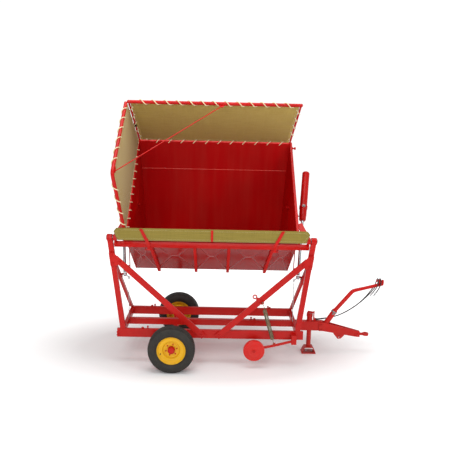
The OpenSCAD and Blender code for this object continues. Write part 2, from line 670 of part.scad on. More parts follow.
// The square beam under the rim and the flared arms that carry the tipping pins.
module pivot_beam() color("firebrick") bin_frame() difference() {
    union() {
        translate([-ear_mid_x, -beam_side - beam_off, -beam_drop - beam_side])
            cube([2 * ear_mid_x, beam_side, beam_side]);
        for (s = [-1, 1]) {
            x_disc(s * ear_mid_x, pin_in, pin_up, arm_boss_r, arm_boss_w);
            translate([s * ear_mid_x - 15, -beam_side - beam_off, -beam_drop - beam_side])
                cube([30, beam_side + 60, 80]);
            bar([s * (rim_x + rim_tube + 14), 430, -10], [s * (ear_mid_x - 4), pin_in + 10, pin_up - 4], 26, 96);
        }
    }
    for (s = [-1, 1]) x_disc(s * ear_mid_x, pin_in, pin_up, pin_r + run_gap, 4 * arm_boss_w);
    translate([-rim_x - rim_tube - side_gap, -0.5, -200]) cube([2 * (rim_x + rim_tube + side_gap), 700, 400]);
}

// ---- near lip ------------------------------------------------------------------------

lip_y = -rail_y - 34;         // middle of the lip board at rest
lip_z = 2216;                 // lower edge of the lip board at rest
knuckle = [-86, -132];
knuckle_r = 20;
knuckle_pin_r = 8;
strap_w = 56;
strap_t = 12;
strap_x = 1090;
lip_ends = [[1585, 0], [1650, 0.72], [1605, 1]];

module lip_board() color([0.62, 0.55, 0.27]) cart()
    translate([0, lip_y + lip_t / 2, lip_z]) rotate([90, 0, 0]) linear_extrude(lip_t)
        polygon(concat([for (p = lip_ends) [p.x, p.y * lip_h]],
            [for (i = [2:-1:0]) [-lip_ends[i].x, lip_ends[i].y * lip_h]]));

hinge_at = bin_point(0, knuckle.x, knuckle.y);

strap_clear = 4;              // gap between a strap and the pivot beam
strap_in = -beam_side - beam_off - strap_clear;
strap_out = strap_in - strap_t;

// Where the strap's face at y of the bin's frame passes y on the cart, and where it ends.
function elbow_z(face, y) = pin_z + (face - pin_in) * sin(tip) +
    (pin_y + (face - pin_in) * cos(tip) - y) / tan(tip);
function strap_foot(face) = [bin_point(0, face, knuckle.y).y, bin_point(0, face, knuckle.y).z];

// Two long hinge straps and a short middle strap on the outside of the lip board.
module lip_straps() color("firebrick") cart() {
    y0 = lip_y - lip_t / 2 - strap_t;
    for (s = [-1, 1]) difference() {
        union() {
            translate([s * strap_x - strap_w / 2, 0, 0]) rotate([90, 0, 90]) linear_extrude(strap_w)
                polygon([[y0, lip_z + lip_h], [y0, elbow_z(strap_out, y0)], strap_foot(strap_out),
                    strap_foot(strap_in), [y0 + strap_t, elbow_z(strap_in, y0 + strap_t)],
                    [y0 + strap_t, lip_z + lip_h]]);
            x_disc(s * strap_x, hinge_at.y, hinge_at.z, knuckle_r, strap_w);
        }
        x_disc(s * strap_x, hinge_at.y, hinge_at.z, knuckle_pin_r + run_gap, 2 * strap_w);
    }
    translate([-20, y0, lip_z - 4]) cube([40, strap_t, lip_h]);
}

// ---- extensions ----------------------------------------------------------------------

far_lean = 175;               // inward run of the far extension at its top
far_foot_y = bin_reach + rim_tube / 2;
far_top_y = bin_reach - far_lean;
far_top_x = 1530;
rear_out = 105;               // outward run of the rear extension at its top
rear_x = -rim_x - rim_tube / 2;
rear_near = [100, 390];       // near foot and near top corner of the rear extension
rear_far_y = 2160;

// Pipe frame of the far extension: two uprights and a top pipe.
module far_ext_frame() color("firebrick") bin_frame() {
    feet = [[-rim_x, far_foot_y, 0], [rim_x, far_foot_y, 0]];
    tops = [[-far_top_x, far_top_y, far_ext_h], [far_top_x, far_top_y, far_ext_h]];
    for (i = [0, 1]) rod(feet[i], tops[i], pipe_r * 0.6);
    rod(tops[0], tops[1], pipe_r);
    for (p = tops) ball(p, pipe_r + 2);
}

rear_foot = [rear_x, rear_near[0], 2];
rear_bend = [rear_x - rear_out, rear_near[1], rear_ext_h];
rear_corner = [rear_x - rear_out + 12, rear_far_y, far_ext_h + 20];

// Pipe frame of the rear extension: one pipe from the near foot over the bend to the corner.
module rear_ext_frame() color("firebrick") bin_frame() {
    rod(rear_foot, rear_bend, pipe_r);
    rod(rear_bend, rear_corner, pipe_r);
    ball(rear_bend, pipe_r + 2);
}

// A flat four-cornered sheet, canvas_t thick, given by its corners in order.
module flat_sheet(p) {
    n = cross(p[1] - p[0], p[2] - p[0]) / norm(cross(p[1] - p[0], p[2] - p[0])) * canvas_t / 2;
    polyhedron(points = concat([for (q = p) q - n], [for (q = p) q + n]),
        faces = concat([[3, 2, 1], [3, 1, 0], [5, 7, 4], [5, 6, 7]],
            [for (i = [0:3]) [i, (i + 1) % 4, (i + 1) % 4 + 4]],
            [for (i = [0:3]) [i, (i + 1) % 4 + 4, i + 4]]));
}

hem = 50;                     // gap between a canvas and its pipe frame, where the laces run

module far_canvas() color([0.62, 0.55, 0.27]) bin_frame() {
    k = hem / far_ext_h;
    y0 = far_foot_y - far_lean * 0.02;
    flat_sheet([[-rim_x + hem, y0 - 16, 26], [rim_x - hem, y0 - 16, 26],
        [far_top_x - hem, far_top_y + far_lean * k + 8, far_ext_h - hem],
        [-far_top_x + hem, far_top_y + far_lean * k + 8, far_ext_h - hem]]);
}

module rear_canvas() color([0.62, 0.55, 0.27]) bin_frame() {
    b = [rear_bend.x, rear_bend.y + hem, rear_bend.z - hem];
    flat_sheet([[rear_x, rear_foot.y + 60, 26], [rear_x, bin_reach - 55, 26],
        [rear_x - rear_out * 0.9, rear_far_y - 10, far_ext_h - 50], [rear_x - rear_out * 0.93, b.y, b.z]]);
}

stay_x = 120;
stay_near = [rear_bend.x + 48, rear_bend.y + 100, rear_bend.z - 40];
stay_far = [stay_x, far_top_y - 52, far_ext_h - 12];

// The stay rod between the two pipe frames, with a triangular plate at each end.
module stay_rod() color("firebrick") bin_frame() {
    rod(stay_near, stay_far, 8);
    translate([stay_x, far_top_y, far_ext_h - 18]) linear_extrude(12)
        polygon([[-60, -pipe_r + 6], [60, -pipe_r + 6], [20, -pipe_r - 50], [-20, -pipe_r - 50]]);
    translate(rear_bend + [pipe_r - 6, 105, -52]) rotate([90, 0, 90]) linear_extrude(12)
        polygon([[-70, 24], [70, 24], [20, -32], [-20, -32]]);
    rod(rear_bend + [pipe_r - 4, 105, -44], stay_near, 10);
}

// ---- lift cylinders ------------------------------------------------------------------

barrel_start = 1130;          // distance from the rod's pin to the barrel's open end
eye_w = 44;

module lift_rod(front) color("silver") cart() at_end(front) difference() {
    union() {
        along(boss, boss + lift_way) cylinder(r = lift_rod_r, h = barrel_start + 60);
        rod(boss - eye_w / 2 * swing_way, boss + eye_w / 2 * swing_way, boss_r);
    }
    rod(boss - 60 * swing_way, boss + 60 * swing_way, boss_pin_r + run_gap);
}
module lift_rod_rear() lift_rod(false);
module lift_rod_front() lift_rod(true);

// The barrel, its gland end bored for the rod, with a domed cap and a collar.
module barrel(front) color("firebrick") cart() at_end(front)
    along(boss + lift_way * barrel_start, boss + lift_way * (barrel_start + 1)) difference() {
        union() {
            cylinder(r = barrel_r, h = barrel_len);
            translate([0, 0, 240]) cylinder(r = barrel_r + 8, h = 70);
            translate([0, 0, barrel_len]) cylinder(r1 = barrel_r, r2 = barrel_r - 16, h = 26);
        }
        translate([0, 0, -1]) cylinder(r = lift_rod_r + run_gap, h = 1 + barrel_len - 60);
    }
module barrel_rear() barrel(false);
module barrel_front() barrel(true);

// ---- draws the chosen piece ----------------------------------------------------------

near_rail();
far_rail();
centre_beam();
end_cross_rear();
end_cross_front();
axle_beam();
near_rim();
near_tyre();
near_hub();
far_rim();
far_tyre();
far_hub();
post_rear();
post_front();
strut_rear();
strut_front();
brace_rear();
brace_front();
frame_gussets();
pivot_pins();
spring_eye_plate();
drawbar_beam();
drawbar_bars();
hitch_eye();
mast_socket();
hose_mast();
hose_saddle();
jack_sleeve();
jack_leg();
jack_crank();
hose_pressure();
hose_return();
hose_couplings();
arm_bracket();
disc_arm();
disc_wheel();
arm_spring();
near_wall();
bin_floor();
far_wall();
end_wall_rear();
end_wall_front();
rim_far();
rim_rear();
rim_front();
wall_ribs();
pivot_beam();
lip_board();
lip_straps();
far_ext_frame();
rear_ext_frame();
far_canvas();
rear_canvas();
stay_rod();
barrel_rear();
barrel_front();
lift_rod_rear();
lift_rod_front();
bolt_set();
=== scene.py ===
"""A high-lift side-tipping grain cart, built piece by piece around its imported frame."""

import math

import bmesh
import bpy
import numpy as np
from mathutils import Matrix


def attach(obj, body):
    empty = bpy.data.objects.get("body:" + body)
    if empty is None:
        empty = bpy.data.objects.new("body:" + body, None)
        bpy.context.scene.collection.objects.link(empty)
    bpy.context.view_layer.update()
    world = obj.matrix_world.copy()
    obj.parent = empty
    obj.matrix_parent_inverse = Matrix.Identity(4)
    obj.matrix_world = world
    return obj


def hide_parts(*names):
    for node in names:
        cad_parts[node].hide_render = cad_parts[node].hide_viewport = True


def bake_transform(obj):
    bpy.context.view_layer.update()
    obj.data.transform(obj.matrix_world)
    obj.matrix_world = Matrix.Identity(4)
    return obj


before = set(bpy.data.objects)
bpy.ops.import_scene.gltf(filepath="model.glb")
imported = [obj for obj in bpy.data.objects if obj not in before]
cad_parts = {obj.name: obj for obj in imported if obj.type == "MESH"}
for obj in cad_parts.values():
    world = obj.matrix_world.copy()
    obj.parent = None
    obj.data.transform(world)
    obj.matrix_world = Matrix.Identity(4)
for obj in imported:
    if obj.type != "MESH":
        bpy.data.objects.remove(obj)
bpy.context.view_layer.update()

# ---- Camera, floor and light ---------------------------------------------------------
# A plain pale studio: a wide matt floor, a bright even surround, and three soft lamps.
# The camera stands well back on the tipping side, a little above the bin's rim.

camera_place = (-1.71, -10.545, 4.39)
look_down, look_aside, roll = math.radians(10.9), math.radians(-0.7), math.radians(1.3)
level = np.array([math.cos(look_aside), math.sin(look_aside), 0.0])
ahead = np.array([
    -math.sin(look_aside) * math.cos(look_down),
    math.cos(look_aside) * math.cos(look_down),
    -math.sin(look_down),
])
upward = np.cross(level, ahead)
camera_x = level * math.cos(roll) + upward * math.sin(roll)
camera_y = upward * math.cos(roll) - level * math.sin(roll)
camera = bpy.data.objects.new("camera", bpy.data.cameras.new("camera"))
camera.data.sensor_width = 36.0
camera.data.lens = 47.7876106
camera.data.clip_end = 200.0
turn = np.eye(4)
turn[:3, :3] = np.stack([camera_x, camera_y, -ahead], axis=1)
turn[:3, 3] = camera_place
camera.matrix_world = Matrix(turn.tolist())
bpy.context.scene.collection.objects.link(camera)
bpy.context.scene.camera = camera


def unit(way):
    """A direction with its length made one."""
    way = np.asarray(way, float)
    return way / np.linalg.norm(way)


def lamp(name, place, aim, size, power):
    """A square soft lamp at place whose face looks along the line from place to aim."""
    data = bpy.data.lights.new(name, "AREA")
    data.shape, data.size, data.energy = "SQUARE", size, power
    back = unit(np.array(place, float) - np.array(aim, float))
    side = unit(np.cross((0.0, 0.0, 1.0) if abs(back[2]) < 0.95 else (0.0, 1.0, 0.0), back))
    m = np.eye(4)
    m[:3, :3] = np.stack([side, np.cross(back, side), back], axis=1)
    m[:3, 3] = place
    obj = bpy.data.objects.new(name, data)
    obj.matrix_world = Matrix(m.tolist())
    bpy.context.scene.collection.objects.link(obj)


lamp("overhead_lamp", (-1.8, -0.5, 9.0), (-1.8, 0.2, 1.2), 6.0, 330.0)
lamp("front_lamp", (-4.5, -9.0, 6.5), (-1.8, 0.0, 1.6), 4.0, 260.0)
lamp("side_lamp", (5.5, -6.0, 5.0), (-1.8, 0.0, 1.6), 3.5, 140.0)

world = bpy.data.worlds.new("studio")
world.use_nodes = True
bpy.context.scene.world = world
bpy.context.scene.view_settings.view_transform = "Standard"


def put(tree, kind, inputs=(), **settings):
    """Adds a node; each input is given as a name or index with a value or a socket."""
    made = tree.nodes.new(kind)
    for key, value in settings.items():
        setattr(made, key, value)
    for key, value in dict(inputs).items():
        if isinstance(value, bpy.types.NodeSocket):
            tree.links.new(value, made.inputs[key])
        else:
            made.inputs[key].default_value = value
    return made


def sum_of(tree, kind, a, b=0.0, c=0.0):
    """One Math node: kind is its operation, a, b and c are numbers or sockets."""
    return put(tree, "ShaderNodeMath", {0: a, 1: b, 2: c}, operation=kind).outputs[0]


def between(tree, share, a, b):
    """A colour that goes from a to b as share goes from 0 to 1."""
    mix = put(tree, "ShaderNodeMix", {0: share, 6: a, 7: b}, data_type="RGBA")
    return mix.outputs[2]


def spread(tree, value, low, high, start=0.0, end=1.0):
    """Maps value from low..high to start..end, clamped."""
    node = put(tree, "ShaderNodeMapRange", {0: value, 1: low, 2: high, 3: start, 4: end})
    return node.outputs[0]


def cloud(tree, where, scale, detail=3.0, rough=0.5, stretch=(1.0, 1.0, 1.0)):
    """Fractal noise of about 0.3 to 0.7, with its pattern scaled along each axis."""
    moved = put(tree, "ShaderNodeMapping", {0: where, 3: stretch}).outputs[0]
    return put(tree, "ShaderNodeTexNoise",
               {"Vector": moved, "Scale": scale, "Detail": detail, "Roughness": rough}).outputs[0]


def colour(r, g, b):
    """A display colour of 0 to 255 as the linear colour that a shader takes."""
    c = np.array([r, g, b]) / 255.0
    linear = np.where(c < 0.04045, c / 12.92, ((c + 0.055) / 1.055) ** 2.4)
    return (*linear.tolist(), 1.0)


def finish_of(name, paint, **fixed):
    """A material: paint(tree, object coordinates, shader) links what changes over the
    surface, and the fixed values go straight on the shader's own sockets."""
    made = bpy.data.materials.new(name)
    made.use_nodes = True
    tree = made.node_tree
    shader = tree.nodes["Principled BSDF"]
    where = put(tree, "ShaderNodeTexCoord")
    for key, value in fixed.items():
        shader.inputs[key.replace("_", " ")].default_value = value
    paint(tree, where, shader)
    return made


def feed(tree, shader, **values):
    """Links what changes over the surface to the shader's sockets of those names."""
    for key, value in values.items():
        tree.links.new(value, shader.inputs[key.replace("_", " ")])


def raised(tree, shader, height, depth):
    """A bump of that depth in metres on the shader's normal."""
    bump = put(tree, "ShaderNodeBump", {"Height": height, "Strength": 1.0, "Distance": depth})
    tree.links.new(bump.outputs[0], shader.inputs["Normal"])


def paint_floor(tree, where, shader):
    """Pale matt paper with a very faint mottle, which glows white away from the cart: the
    glow grows with the distance from the cart's middle, measured in an ellipse."""
    mottle = cloud(tree, where.outputs["Object"], 1.5)
    paper = between(tree, mottle, colour(248, 248, 248), colour(251, 251, 251))
    place = put(tree, "ShaderNodeMapping", {0: where.outputs["Object"], 1: (0.80, 0.0, 0.0),
                                            3: (0.42, 0.75, 0.0)}).outputs[0]
    far = put(tree, "ShaderNodeVectorMath", {0: place}, operation="LENGTH").outputs["Value"]
    seen = put(tree, "ShaderNodeLightPath").outputs["Is Camera Ray"]
    glow = spread(tree, far, 0.95, 2.2)
    shader.inputs["Emission Color"].default_value = (1.0, 1.0, 1.0, 1.0)
    strength = sum_of(tree, "MULTIPLY", glow, spread(tree, seen, 0.0, 1.0, 0.35, 0.6))
    feed(tree, shader, Base_Color=paper, Emission_Strength=strength)


def new_mesh(name, points, faces, uv=None):
    """A mesh object from arrays of corner points and faces, with a UV pair per point."""
    mesh = bpy.data.meshes.new(name)
    mesh.from_pydata(np.asarray(points, float).reshape(-1, 3).tolist(), [],
                     [[int(i) for i in f] for f in faces])
    mesh.update()
    if uv is not None:
        corners = np.zeros(len(mesh.loops), np.int32)
        mesh.loops.foreach_get("vertex_index", corners)
        layer = mesh.uv_layers.new(name="UVMap")
        layer.data.foreach_set("uv", np.asarray(uv, np.float32).reshape(-1, 2)[corners].ravel())
    obj = bpy.data.objects.new(name, mesh)
    bpy.context.scene.collection.objects.link(obj)
    return obj


# The surround and the far floor are lit as a white cyclorama: bright where they are seen
# and softer where they light the cart.
tree = world.node_tree
seen = tree.nodes.new("ShaderNodeLightPath").outputs["Is Camera Ray"]
surround = tree.nodes["Background"]
surround.inputs["Color"].default_value = (1.0, 1.0, 1.0, 1.0)
feed(tree, surround, Strength=spread(tree, seen, 0.0, 1.0, 0.55, 1.05))
floor_r = 30.0
floor = new_mesh("floor", [(sx * floor_r, sy * floor_r, 0) for sx, sy in
                           ((-1, -1), (1, -1), (1, 1), (-1, 1))], [(0, 1, 2, 3)])
floor.data.materials.append(finish_of("floor_paper", paint_floor, Roughness=0.9))

# ---- Hydraulic hoses -----------------------------------------------------------------
# Two rubber hoses with a braided steel core leave the union block on the drawbar, lie
# over it in a long sag, and hang over the saddle near the tip of the mast.

back = 1.820      # from the middle of the chassis to the jack, which stands at the origin


def chassis(points):
    """Points in millimetres from the middle of the chassis, in metres in the frame."""
    p = np.asarray(points, float).reshape(-1, 3) / 1000.0
    return p - (back, 0.0, 0.0)


def spot(x, y, z):
    """One such point."""
    return chassis((x, y, z))[0]


def eased(points, steps):
    """A smooth line through points: each stretch is the cubic that leaves a point along
    half the line between its two neighbours, sampled steps times."""
    p = np.asarray(points, float)
    a, b = np.vstack([p[:1], p[:-2]]), p[:-1]
    c, d = p[1:], np.vstack([p[2:], p[-1:]])
    t = (np.arange(steps) / steps)[None, :, None]
    a, b, c, d = (q[:, None, :] for q in (a, b, c, d))
    line = 0.5 * (2 * b + (c - a) * t + (2 * a - 5 * b + 4 * c - d) * t**2
                  + (3 * b - a - 3 * c + d) * t**3)
    return np.vstack([line.reshape(-1, 3), p[-1:]])


def ring_faces(rows, cols, closed_rows=False, closed_cols=True):
    """Four-cornered faces over a grid of rows x cols points, joined round where closed."""
    i = np.arange(rows if closed_rows else rows - 1)[:, None]
    j = np.arange(cols if closed_cols else cols - 1)[None, :]
    ni, nj = (i + 1) % rows, (j + 1) % cols
    faces = np.stack([i * cols + j, i * cols + nj, ni * cols + nj, ni * cols + j], axis=-1)
    return faces.reshape(-1, 4).tolist()


def capped(rows, cols):
    """The faces of a grid that is joined round its columns, with a flat cap on each end."""
    return ring_faces(rows, cols) + [list(range(cols))[::-1],
                                     list(range((rows - 1) * cols, rows * cols))]


def units(ways):
    """Rows of directions, each with its length made one."""
    return ways / np.linalg.norm(ways, axis=1, keepdims=True)


def run_along(path):
    """The distance from a path's start to each of its points."""
    return np.concatenate([[0], np.cumsum(np.linalg.norm(np.diff(path, axis=0), axis=1))])


def closed_mesh(name, points, faces, uv=None):
    """A closed mesh object with every face turned outwards."""
    obj = new_mesh(name, points, faces, uv)
    work = bmesh.new()
    work.from_mesh(obj.data)
    bmesh.ops.recalc_face_normals(work, faces=work.faces)
    work.to_mesh(obj.data)
    work.free()
    return obj


def swept(name, path, radius, sides=14, lean=(0.13, 0.21, 0.97)):
    """A round bar: at each point of the path a circle of that radius (one number or one
    for each point) stands square to the path; both ends are closed by a flat cap."""
    path = np.asarray(path, float)
    way = units(np.gradient(path, axis=0))
    across = units(np.cross(way, lean))
    up = np.cross(across, way)
    a = np.linspace(0, 2 * np.pi, sides, endpoint=False)
    r = np.broadcast_to(np.asarray(radius, float), (len(path),))[:, None, None]
    rings = path[:, None, :] + r * (across[:, None, :] * np.cos(a)[None, :, None]
                                    + up[:, None, :] * np.sin(a)[None, :, None])
    uv = np.stack(np.broadcast_arrays(run_along(path)[:, None], (a / (2 * np.pi))[None, :]), -1)
    return closed_mesh(name, rings, capped(len(path), sides), uv)


def done(obj, material, body="root", sharp=40.0, replaced=()):
    """Gives a piece its material, its smooth shading up to a sharp edge, the body it rides on
    and the nodes it stands for."""
    obj.data.materials.clear()
    obj.data.materials.append(material)
    obj.data.polygons.foreach_set("use_smooth", [True] * len(obj.data.polygons))
    obj.data.set_sharp_from_angle(angle=math.radians(sharp))
    if body:
        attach(obj, body)
    if replaced:
        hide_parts(*replaced)
    return obj


def wrap_marks(tree, where, stretch, distortion=0.0):
    """Diagonal bands on a round piece's own map, stretched along and round it."""
    laid = put(tree, "ShaderNodeMapping", {0: where.outputs["UV"], 3: stretch}).outputs[0]
    return put(tree, "ShaderNodeTexWave", {"Vector": laid, "Scale": 1.0, "Distortion": distortion},
               bands_direction="DIAGONAL").outputs[1]


def paint_hose(tree, where, shader):
    """Black rubber: a faint diagonal wrap mark from the cure, and dust in patches."""
    wrap = wrap_marks(tree, where, (60.0, 2.0, 1.0), 0.4)
    dust = cloud(tree, where.outputs["Object"], 18.0, 5.0)
    tone = between(tree, spread(tree, dust, 0.4, 0.75), colour(22, 22, 23), colour(58, 55, 50))
    feed(tree, shader, Base_Color=tone, Roughness=spread(tree, dust, 0.3, 0.7, 0.42, 0.7))
    raised(tree, shader, wrap, 0.0006)


hose_rubber = finish_of("hose_rubber", paint_hose)
hose_d = 0.018
pressure_route = [
    (1936.5, 22, 630), (1985, 29, 630), (2040, 50, 631), (2095, 67, 634), (2170, 70, 645),
    (2250, 72, 665), (2340, 74, 695), (2430, 76, 735), (2520, 78, 785), (2610, 78, 845),
    (2700, 78, 915), (2780, 78, 990), (2850, 78, 1070), (2915, 78, 1155), (2970, 77, 1240),
    (3010, 78, 1310), (3028, 72, 1384), (3032, 42, 1422), (3034, 0, 1435), (3032, -42, 1422),
    (3026, -72, 1384), (3012, -77, 1320), (2975, -74, 1250), (2935, -72, 1190)]
return_route = [
    (1936.5, 50, 630), (1985, 58, 630), (2040, 76, 630), (2095, 91, 632), (2170, 96, 640),
    (2250, 98, 656), (2340, 100, 682), (2430, 102, 720), (2520, 103, 768), (2610, 104, 827),
    (2700, 104, 896), (2785, 104, 970), (2865, 104, 1050), (2940, 104, 1135),
    (3005, 102, 1225), (3050, 90, 1305), (3070, 72, 1384), (3076, 42, 1422), (3078, 0, 1435),
    (3076, -42, 1422), (3072, -72, 1384), (3060, -77, 1320), (3030, -74, 1250),
    (2994, -72, 1190)]
hose_lines = [eased(chassis(route), 2) for route in (pressure_route, return_route)]
for name, line in zip(("hose_pressure", "hose_return"), hose_lines):
    hose = swept(name + "_rubber", line, hose_d / 2, 16, lean=(0.2, 1.0, 0.1))
    done(hose, hose_rubber, replaced=[name])

# ---- Quick couplings -----------------------------------------------------------------
# A turned and zinc-plated male tip is crimped on the free end of each hose: a ribbed
# ferrule, a hexagon, a grooved tip and a rounded nose.


def turned(name, outline, start, way, sides=48):
    """A turned piece: an outline of (distance along way, radius) pairs is carried round
    the axis; the radius may also be an array over the sides, as for a hexagon."""
    way = unit(way)
    across = unit(np.cross(way, (0.31, 0.17, 0.93) if abs(way[2]) < 0.9 else (1.0, 0.0, 0.0)))
    up = np.cross(way, across)
    a = np.linspace(0, 2 * np.pi, sides, endpoint=False)
    far = np.array([o[0] for o in outline], float)[:, None, None]
    r = np.stack([np.broadcast_to(o[1], (sides,)) for o in outline])[:, :, None]
    rings = (np.asarray(start, float) + far * way
             + r * (across * np.cos(a)[:, None] + up * np.sin(a)[:, None])[None])
    run = np.cumsum([0] + [math.dist((p[0], np.mean(p[1])), (q[0], np.mean(q[1])))
                           for p, q in zip(outline, outline[1:])])
    uv = np.stack(np.broadcast_arrays(run[:, None], (a / (2 * np.pi))[None, :]), axis=-1)
    return closed_mesh(name, rings, capped(len(outline), sides), uv)


def hexagon(flat, sides=48):
    """Radius at each side's angle of a hexagon that is flat across its flats."""
    a = np.linspace(0, 2 * np.pi, sides, endpoint=False)
    return flat / 2 / np.cos((a % (np.pi / 3)) - np.pi / 6)


def joined(name, objects):
    """One object from several, in their order, with their UV maps kept."""
    points, faces, uvs, base = [], [], [], 0
    for o in objects:
        co = np.zeros(len(o.data.vertices) * 3)
        o.data.vertices.foreach_get("co", co)
        corner = np.zeros(len(o.data.loops), np.int32)
        o.data.loops.foreach_get("vertex_index", corner)
        pair = np.zeros((len(o.data.vertices), 2), np.float32)
        if o.data.uv_layers:
            flat = np.zeros(len(o.data.loops) * 2, np.float32)
            o.data.uv_layers[0].data.foreach_get("uv", flat)
            pair[corner] = flat.reshape(-1, 2)
        start = np.zeros(len(o.data.polygons), np.int32)
        total = np.zeros(len(o.data.polygons), np.int32)
        o.data.polygons.foreach_get("loop_start", start)
        o.data.polygons.foreach_get("loop_total", total)
        faces += [(corner[s:s + t] + base).tolist() for s, t in zip(start, total)]
        points.append(co.reshape(-1, 3))
        uvs.append(pair)
        base += len(pair)
        bpy.data.objects.remove(o)
    return new_mesh(name, np.vstack(points), faces, np.vstack(uvs))


def paint_zinc(tree, where, shader):
    """Zinc plate: small crystal spangles, a dull bloom in patches."""
    spangle = put(tree, "ShaderNodeTexVoronoi",
                  {"Vector": where.outputs["Object"], "Scale": 260.0}).outputs["Color"]
    bloom = cloud(tree, where.outputs["Object"], 30.0, 5.0)
    plate = between(tree, spangle, colour(176, 180, 184), colour(206, 208, 208))
    tone = between(tree, spread(tree, bloom, 0.45, 0.75), plate, colour(150, 150, 146))
    feed(tree, shader, Base_Color=tone, Roughness=spread(tree, bloom, 0.3, 0.75, 0.28, 0.6))
    raised(tree, shader, bloom, 0.0004)


zinc = finish_of("zinc_plate", paint_zinc, Metallic=0.95)
tip_outline = [
    (0.000, 0.0105), (0.000, 0.0135), (0.003, 0.0145), (0.006, 0.0128), (0.009, 0.0145),
    (0.012, 0.0128), (0.015, 0.0145), (0.018, 0.0128), (0.021, 0.0145), (0.026, 0.0142),
    (0.028, 0.0110), (0.030, 0.0110), (0.030, hexagon(0.0262)), (0.042, hexagon(0.0262)),
    (0.042, 0.0110), (0.047, 0.0105), (0.047, 0.0128), (0.058, 0.0128), (0.060, 0.0098),
    (0.064, 0.0098), (0.066, 0.0122), (0.070, 0.0120), (0.0735, 0.0085), (0.075, 0.0045)]
tips = [turned("tip", tip_outline, line[-1] - 0.02 * (line[-1] - line[-2]), line[-1] - line[-2])
        for line in hose_lines]
couplings = done(joined("hose_tips", tips), zinc, replaced=["hose_couplings"])

# A tapered rubber sleeve keeps each hose from kinking where it leaves the union block.
sleeve_outline = [(0.0, 0.0150), (0.006, 0.0155), (0.010, 0.0140), (0.016, 0.0142),
                  (0.020, 0.0128), (0.026, 0.0130), (0.030, 0.0118), (0.038, 0.0098)]
sleeves = [turned("sleeve", sleeve_outline, line[0], line[1] - line[0]) for line in hose_lines]
done(joined("hose_sleeves", sleeves), hose_rubber)

# ---- Chassis -------------------------------------------------------------------------
# Rolled steel channels and tubes welded into a ladder: near rail, far rail, middle beam
# and two end cross members, all sprayed with glossy red machine enamel.


def enamel_group():
    """Gloss enamel: a slow fade over a metre, vertical wash streaks, road dust that grows
    towards the ground, and a fine orange peel. It puts out three masks and a height."""
    group = bpy.data.node_groups.new("enamel_surface", "ShaderNodeTree")
    group.interface.new_socket("Place", in_out="INPUT", socket_type="NodeSocketVector")
    group.interface.new_socket("Dust Top", in_out="INPUT", socket_type="NodeSocketFloat")
    for label in ("Fade", "Streak", "Dust", "Peel"):
        group.interface.new_socket(label, in_out="OUTPUT", socket_type="NodeSocketFloat")
    given = group.nodes.new("NodeGroupInput")
    out = group.nodes.new("NodeGroupOutput")
    where = given.outputs["Place"]
    fade = spread(group, cloud(group, where, 0.9, 3.0), 0.35, 0.65)
    streak = spread(group, cloud(group, where, 6.0, 6.0, 0.6, (1.0, 1.0, 0.09)), 0.42, 0.72)
    height = put(group, "ShaderNodeSeparateXYZ", {0: where}).outputs[2]
    low = spread(group, sum_of(group, "DIVIDE", height, given.outputs["Dust Top"]), 0.0, 1.0,
                 1.0, 0.0)
    speck = spread(group, cloud(group, where, 38.0, 8.0, 0.75), 0.46, 0.72)
    dust = sum_of(group, "MULTIPLY", low, sum_of(group, "MULTIPLY_ADD", speck, 0.75, 0.12))
    peel = sum_of(group, "MULTIPLY_ADD", cloud(group, where, 2.6, 2.0), 6.0,
                  cloud(group, where, 210.0, 2.0))
    for label, value in (("Fade", fade), ("Streak", streak), ("Dust", dust), ("Peel", peel)):
        group.links.new(value, out.inputs[label])
    return group


enamel = enamel_group()
road_dust = colour(150, 128, 104)


def enamel_finish(name, deep, faded, dust_top=0.9, gloss=0.24, peel=0.00022, coat=0.3,
                  shine=0.5):
    """Enamel from a deep to a faded tone, with dust below dust_top metres."""
    def paint(tree, where, shader):
        masks = put(tree, "ShaderNodeGroup", node_tree=enamel)
        tree.links.new(where.outputs["Object"], masks.inputs["Place"])
        masks.inputs["Dust Top"].default_value = dust_top
        tone = between(tree, masks.outputs["Fade"], deep, faded)
        washed = between(tree, sum_of(tree, "MULTIPLY", masks.outputs["Streak"], 0.04), tone,
                         road_dust)
        dusty = between(tree, sum_of(tree, "MULTIPLY", masks.outputs["Dust"], 0.22), washed,
                        road_dust)
        rough = sum_of(tree, "MULTIPLY_ADD", masks.outputs["Streak"], 0.10, gloss)
        rough = sum_of(tree, "MULTIPLY_ADD", masks.outputs["Dust"], 0.45, rough)
        feed(tree, shader, Base_Color=dusty, Roughness=rough)
        raised(tree, shader, masks.outputs["Peel"], peel)
    return finish_of(name, paint, Coat_Weight=coat, Coat_Roughness=0.08,
                     Specular_IOR_Level=shine)


red = enamel_finish("red_enamel", colour(178, 6, 4), colour(196, 13, 8), 0.9, gloss=0.3,
                    coat=0.05, shine=0.2)


def softened(node, material, width=0.004, body="root", sharp=38.0, steps=2):
    """A CAD node's own shape with its loose triangles merged, its flat faces made whole
    again and its sharp edges rolled to a small radius; it stands for that node."""
    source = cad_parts[node]
    work = bmesh.new()
    work.from_mesh(source.data)
    work.transform(source.matrix_world)
    bmesh.ops.remove_doubles(work, verts=work.verts, dist=1e-5)
    bmesh.ops.dissolve_limit(work, angle_limit=math.radians(0.6), verts=work.verts,
                             edges=work.edges, delimit=set())
    mesh = bpy.data.meshes.new(node + "_made")
    work.to_mesh(mesh)
    work.free()
    obj = bpy.data.objects.new(node + "_made", mesh)
    bpy.context.scene.collection.objects.link(obj)
    done(obj, material, body, sharp, replaced=[node])
    rolled = obj.modifiers.new("rolled_edges", "BEVEL")
    rolled.width, rolled.segments = width, steps
    rolled.limit_method, rolled.angle_limit = "ANGLE", math.radians(sharp)
    rolled.harden_normals = True
    rolled.use_clamp_overlap = True
    return obj


for node in ("near_rail", "far_rail", "centre_beam", "end_cross_rear", "end_cross_front",
             "axle_beam"):
    softened(node, red, 0.006)


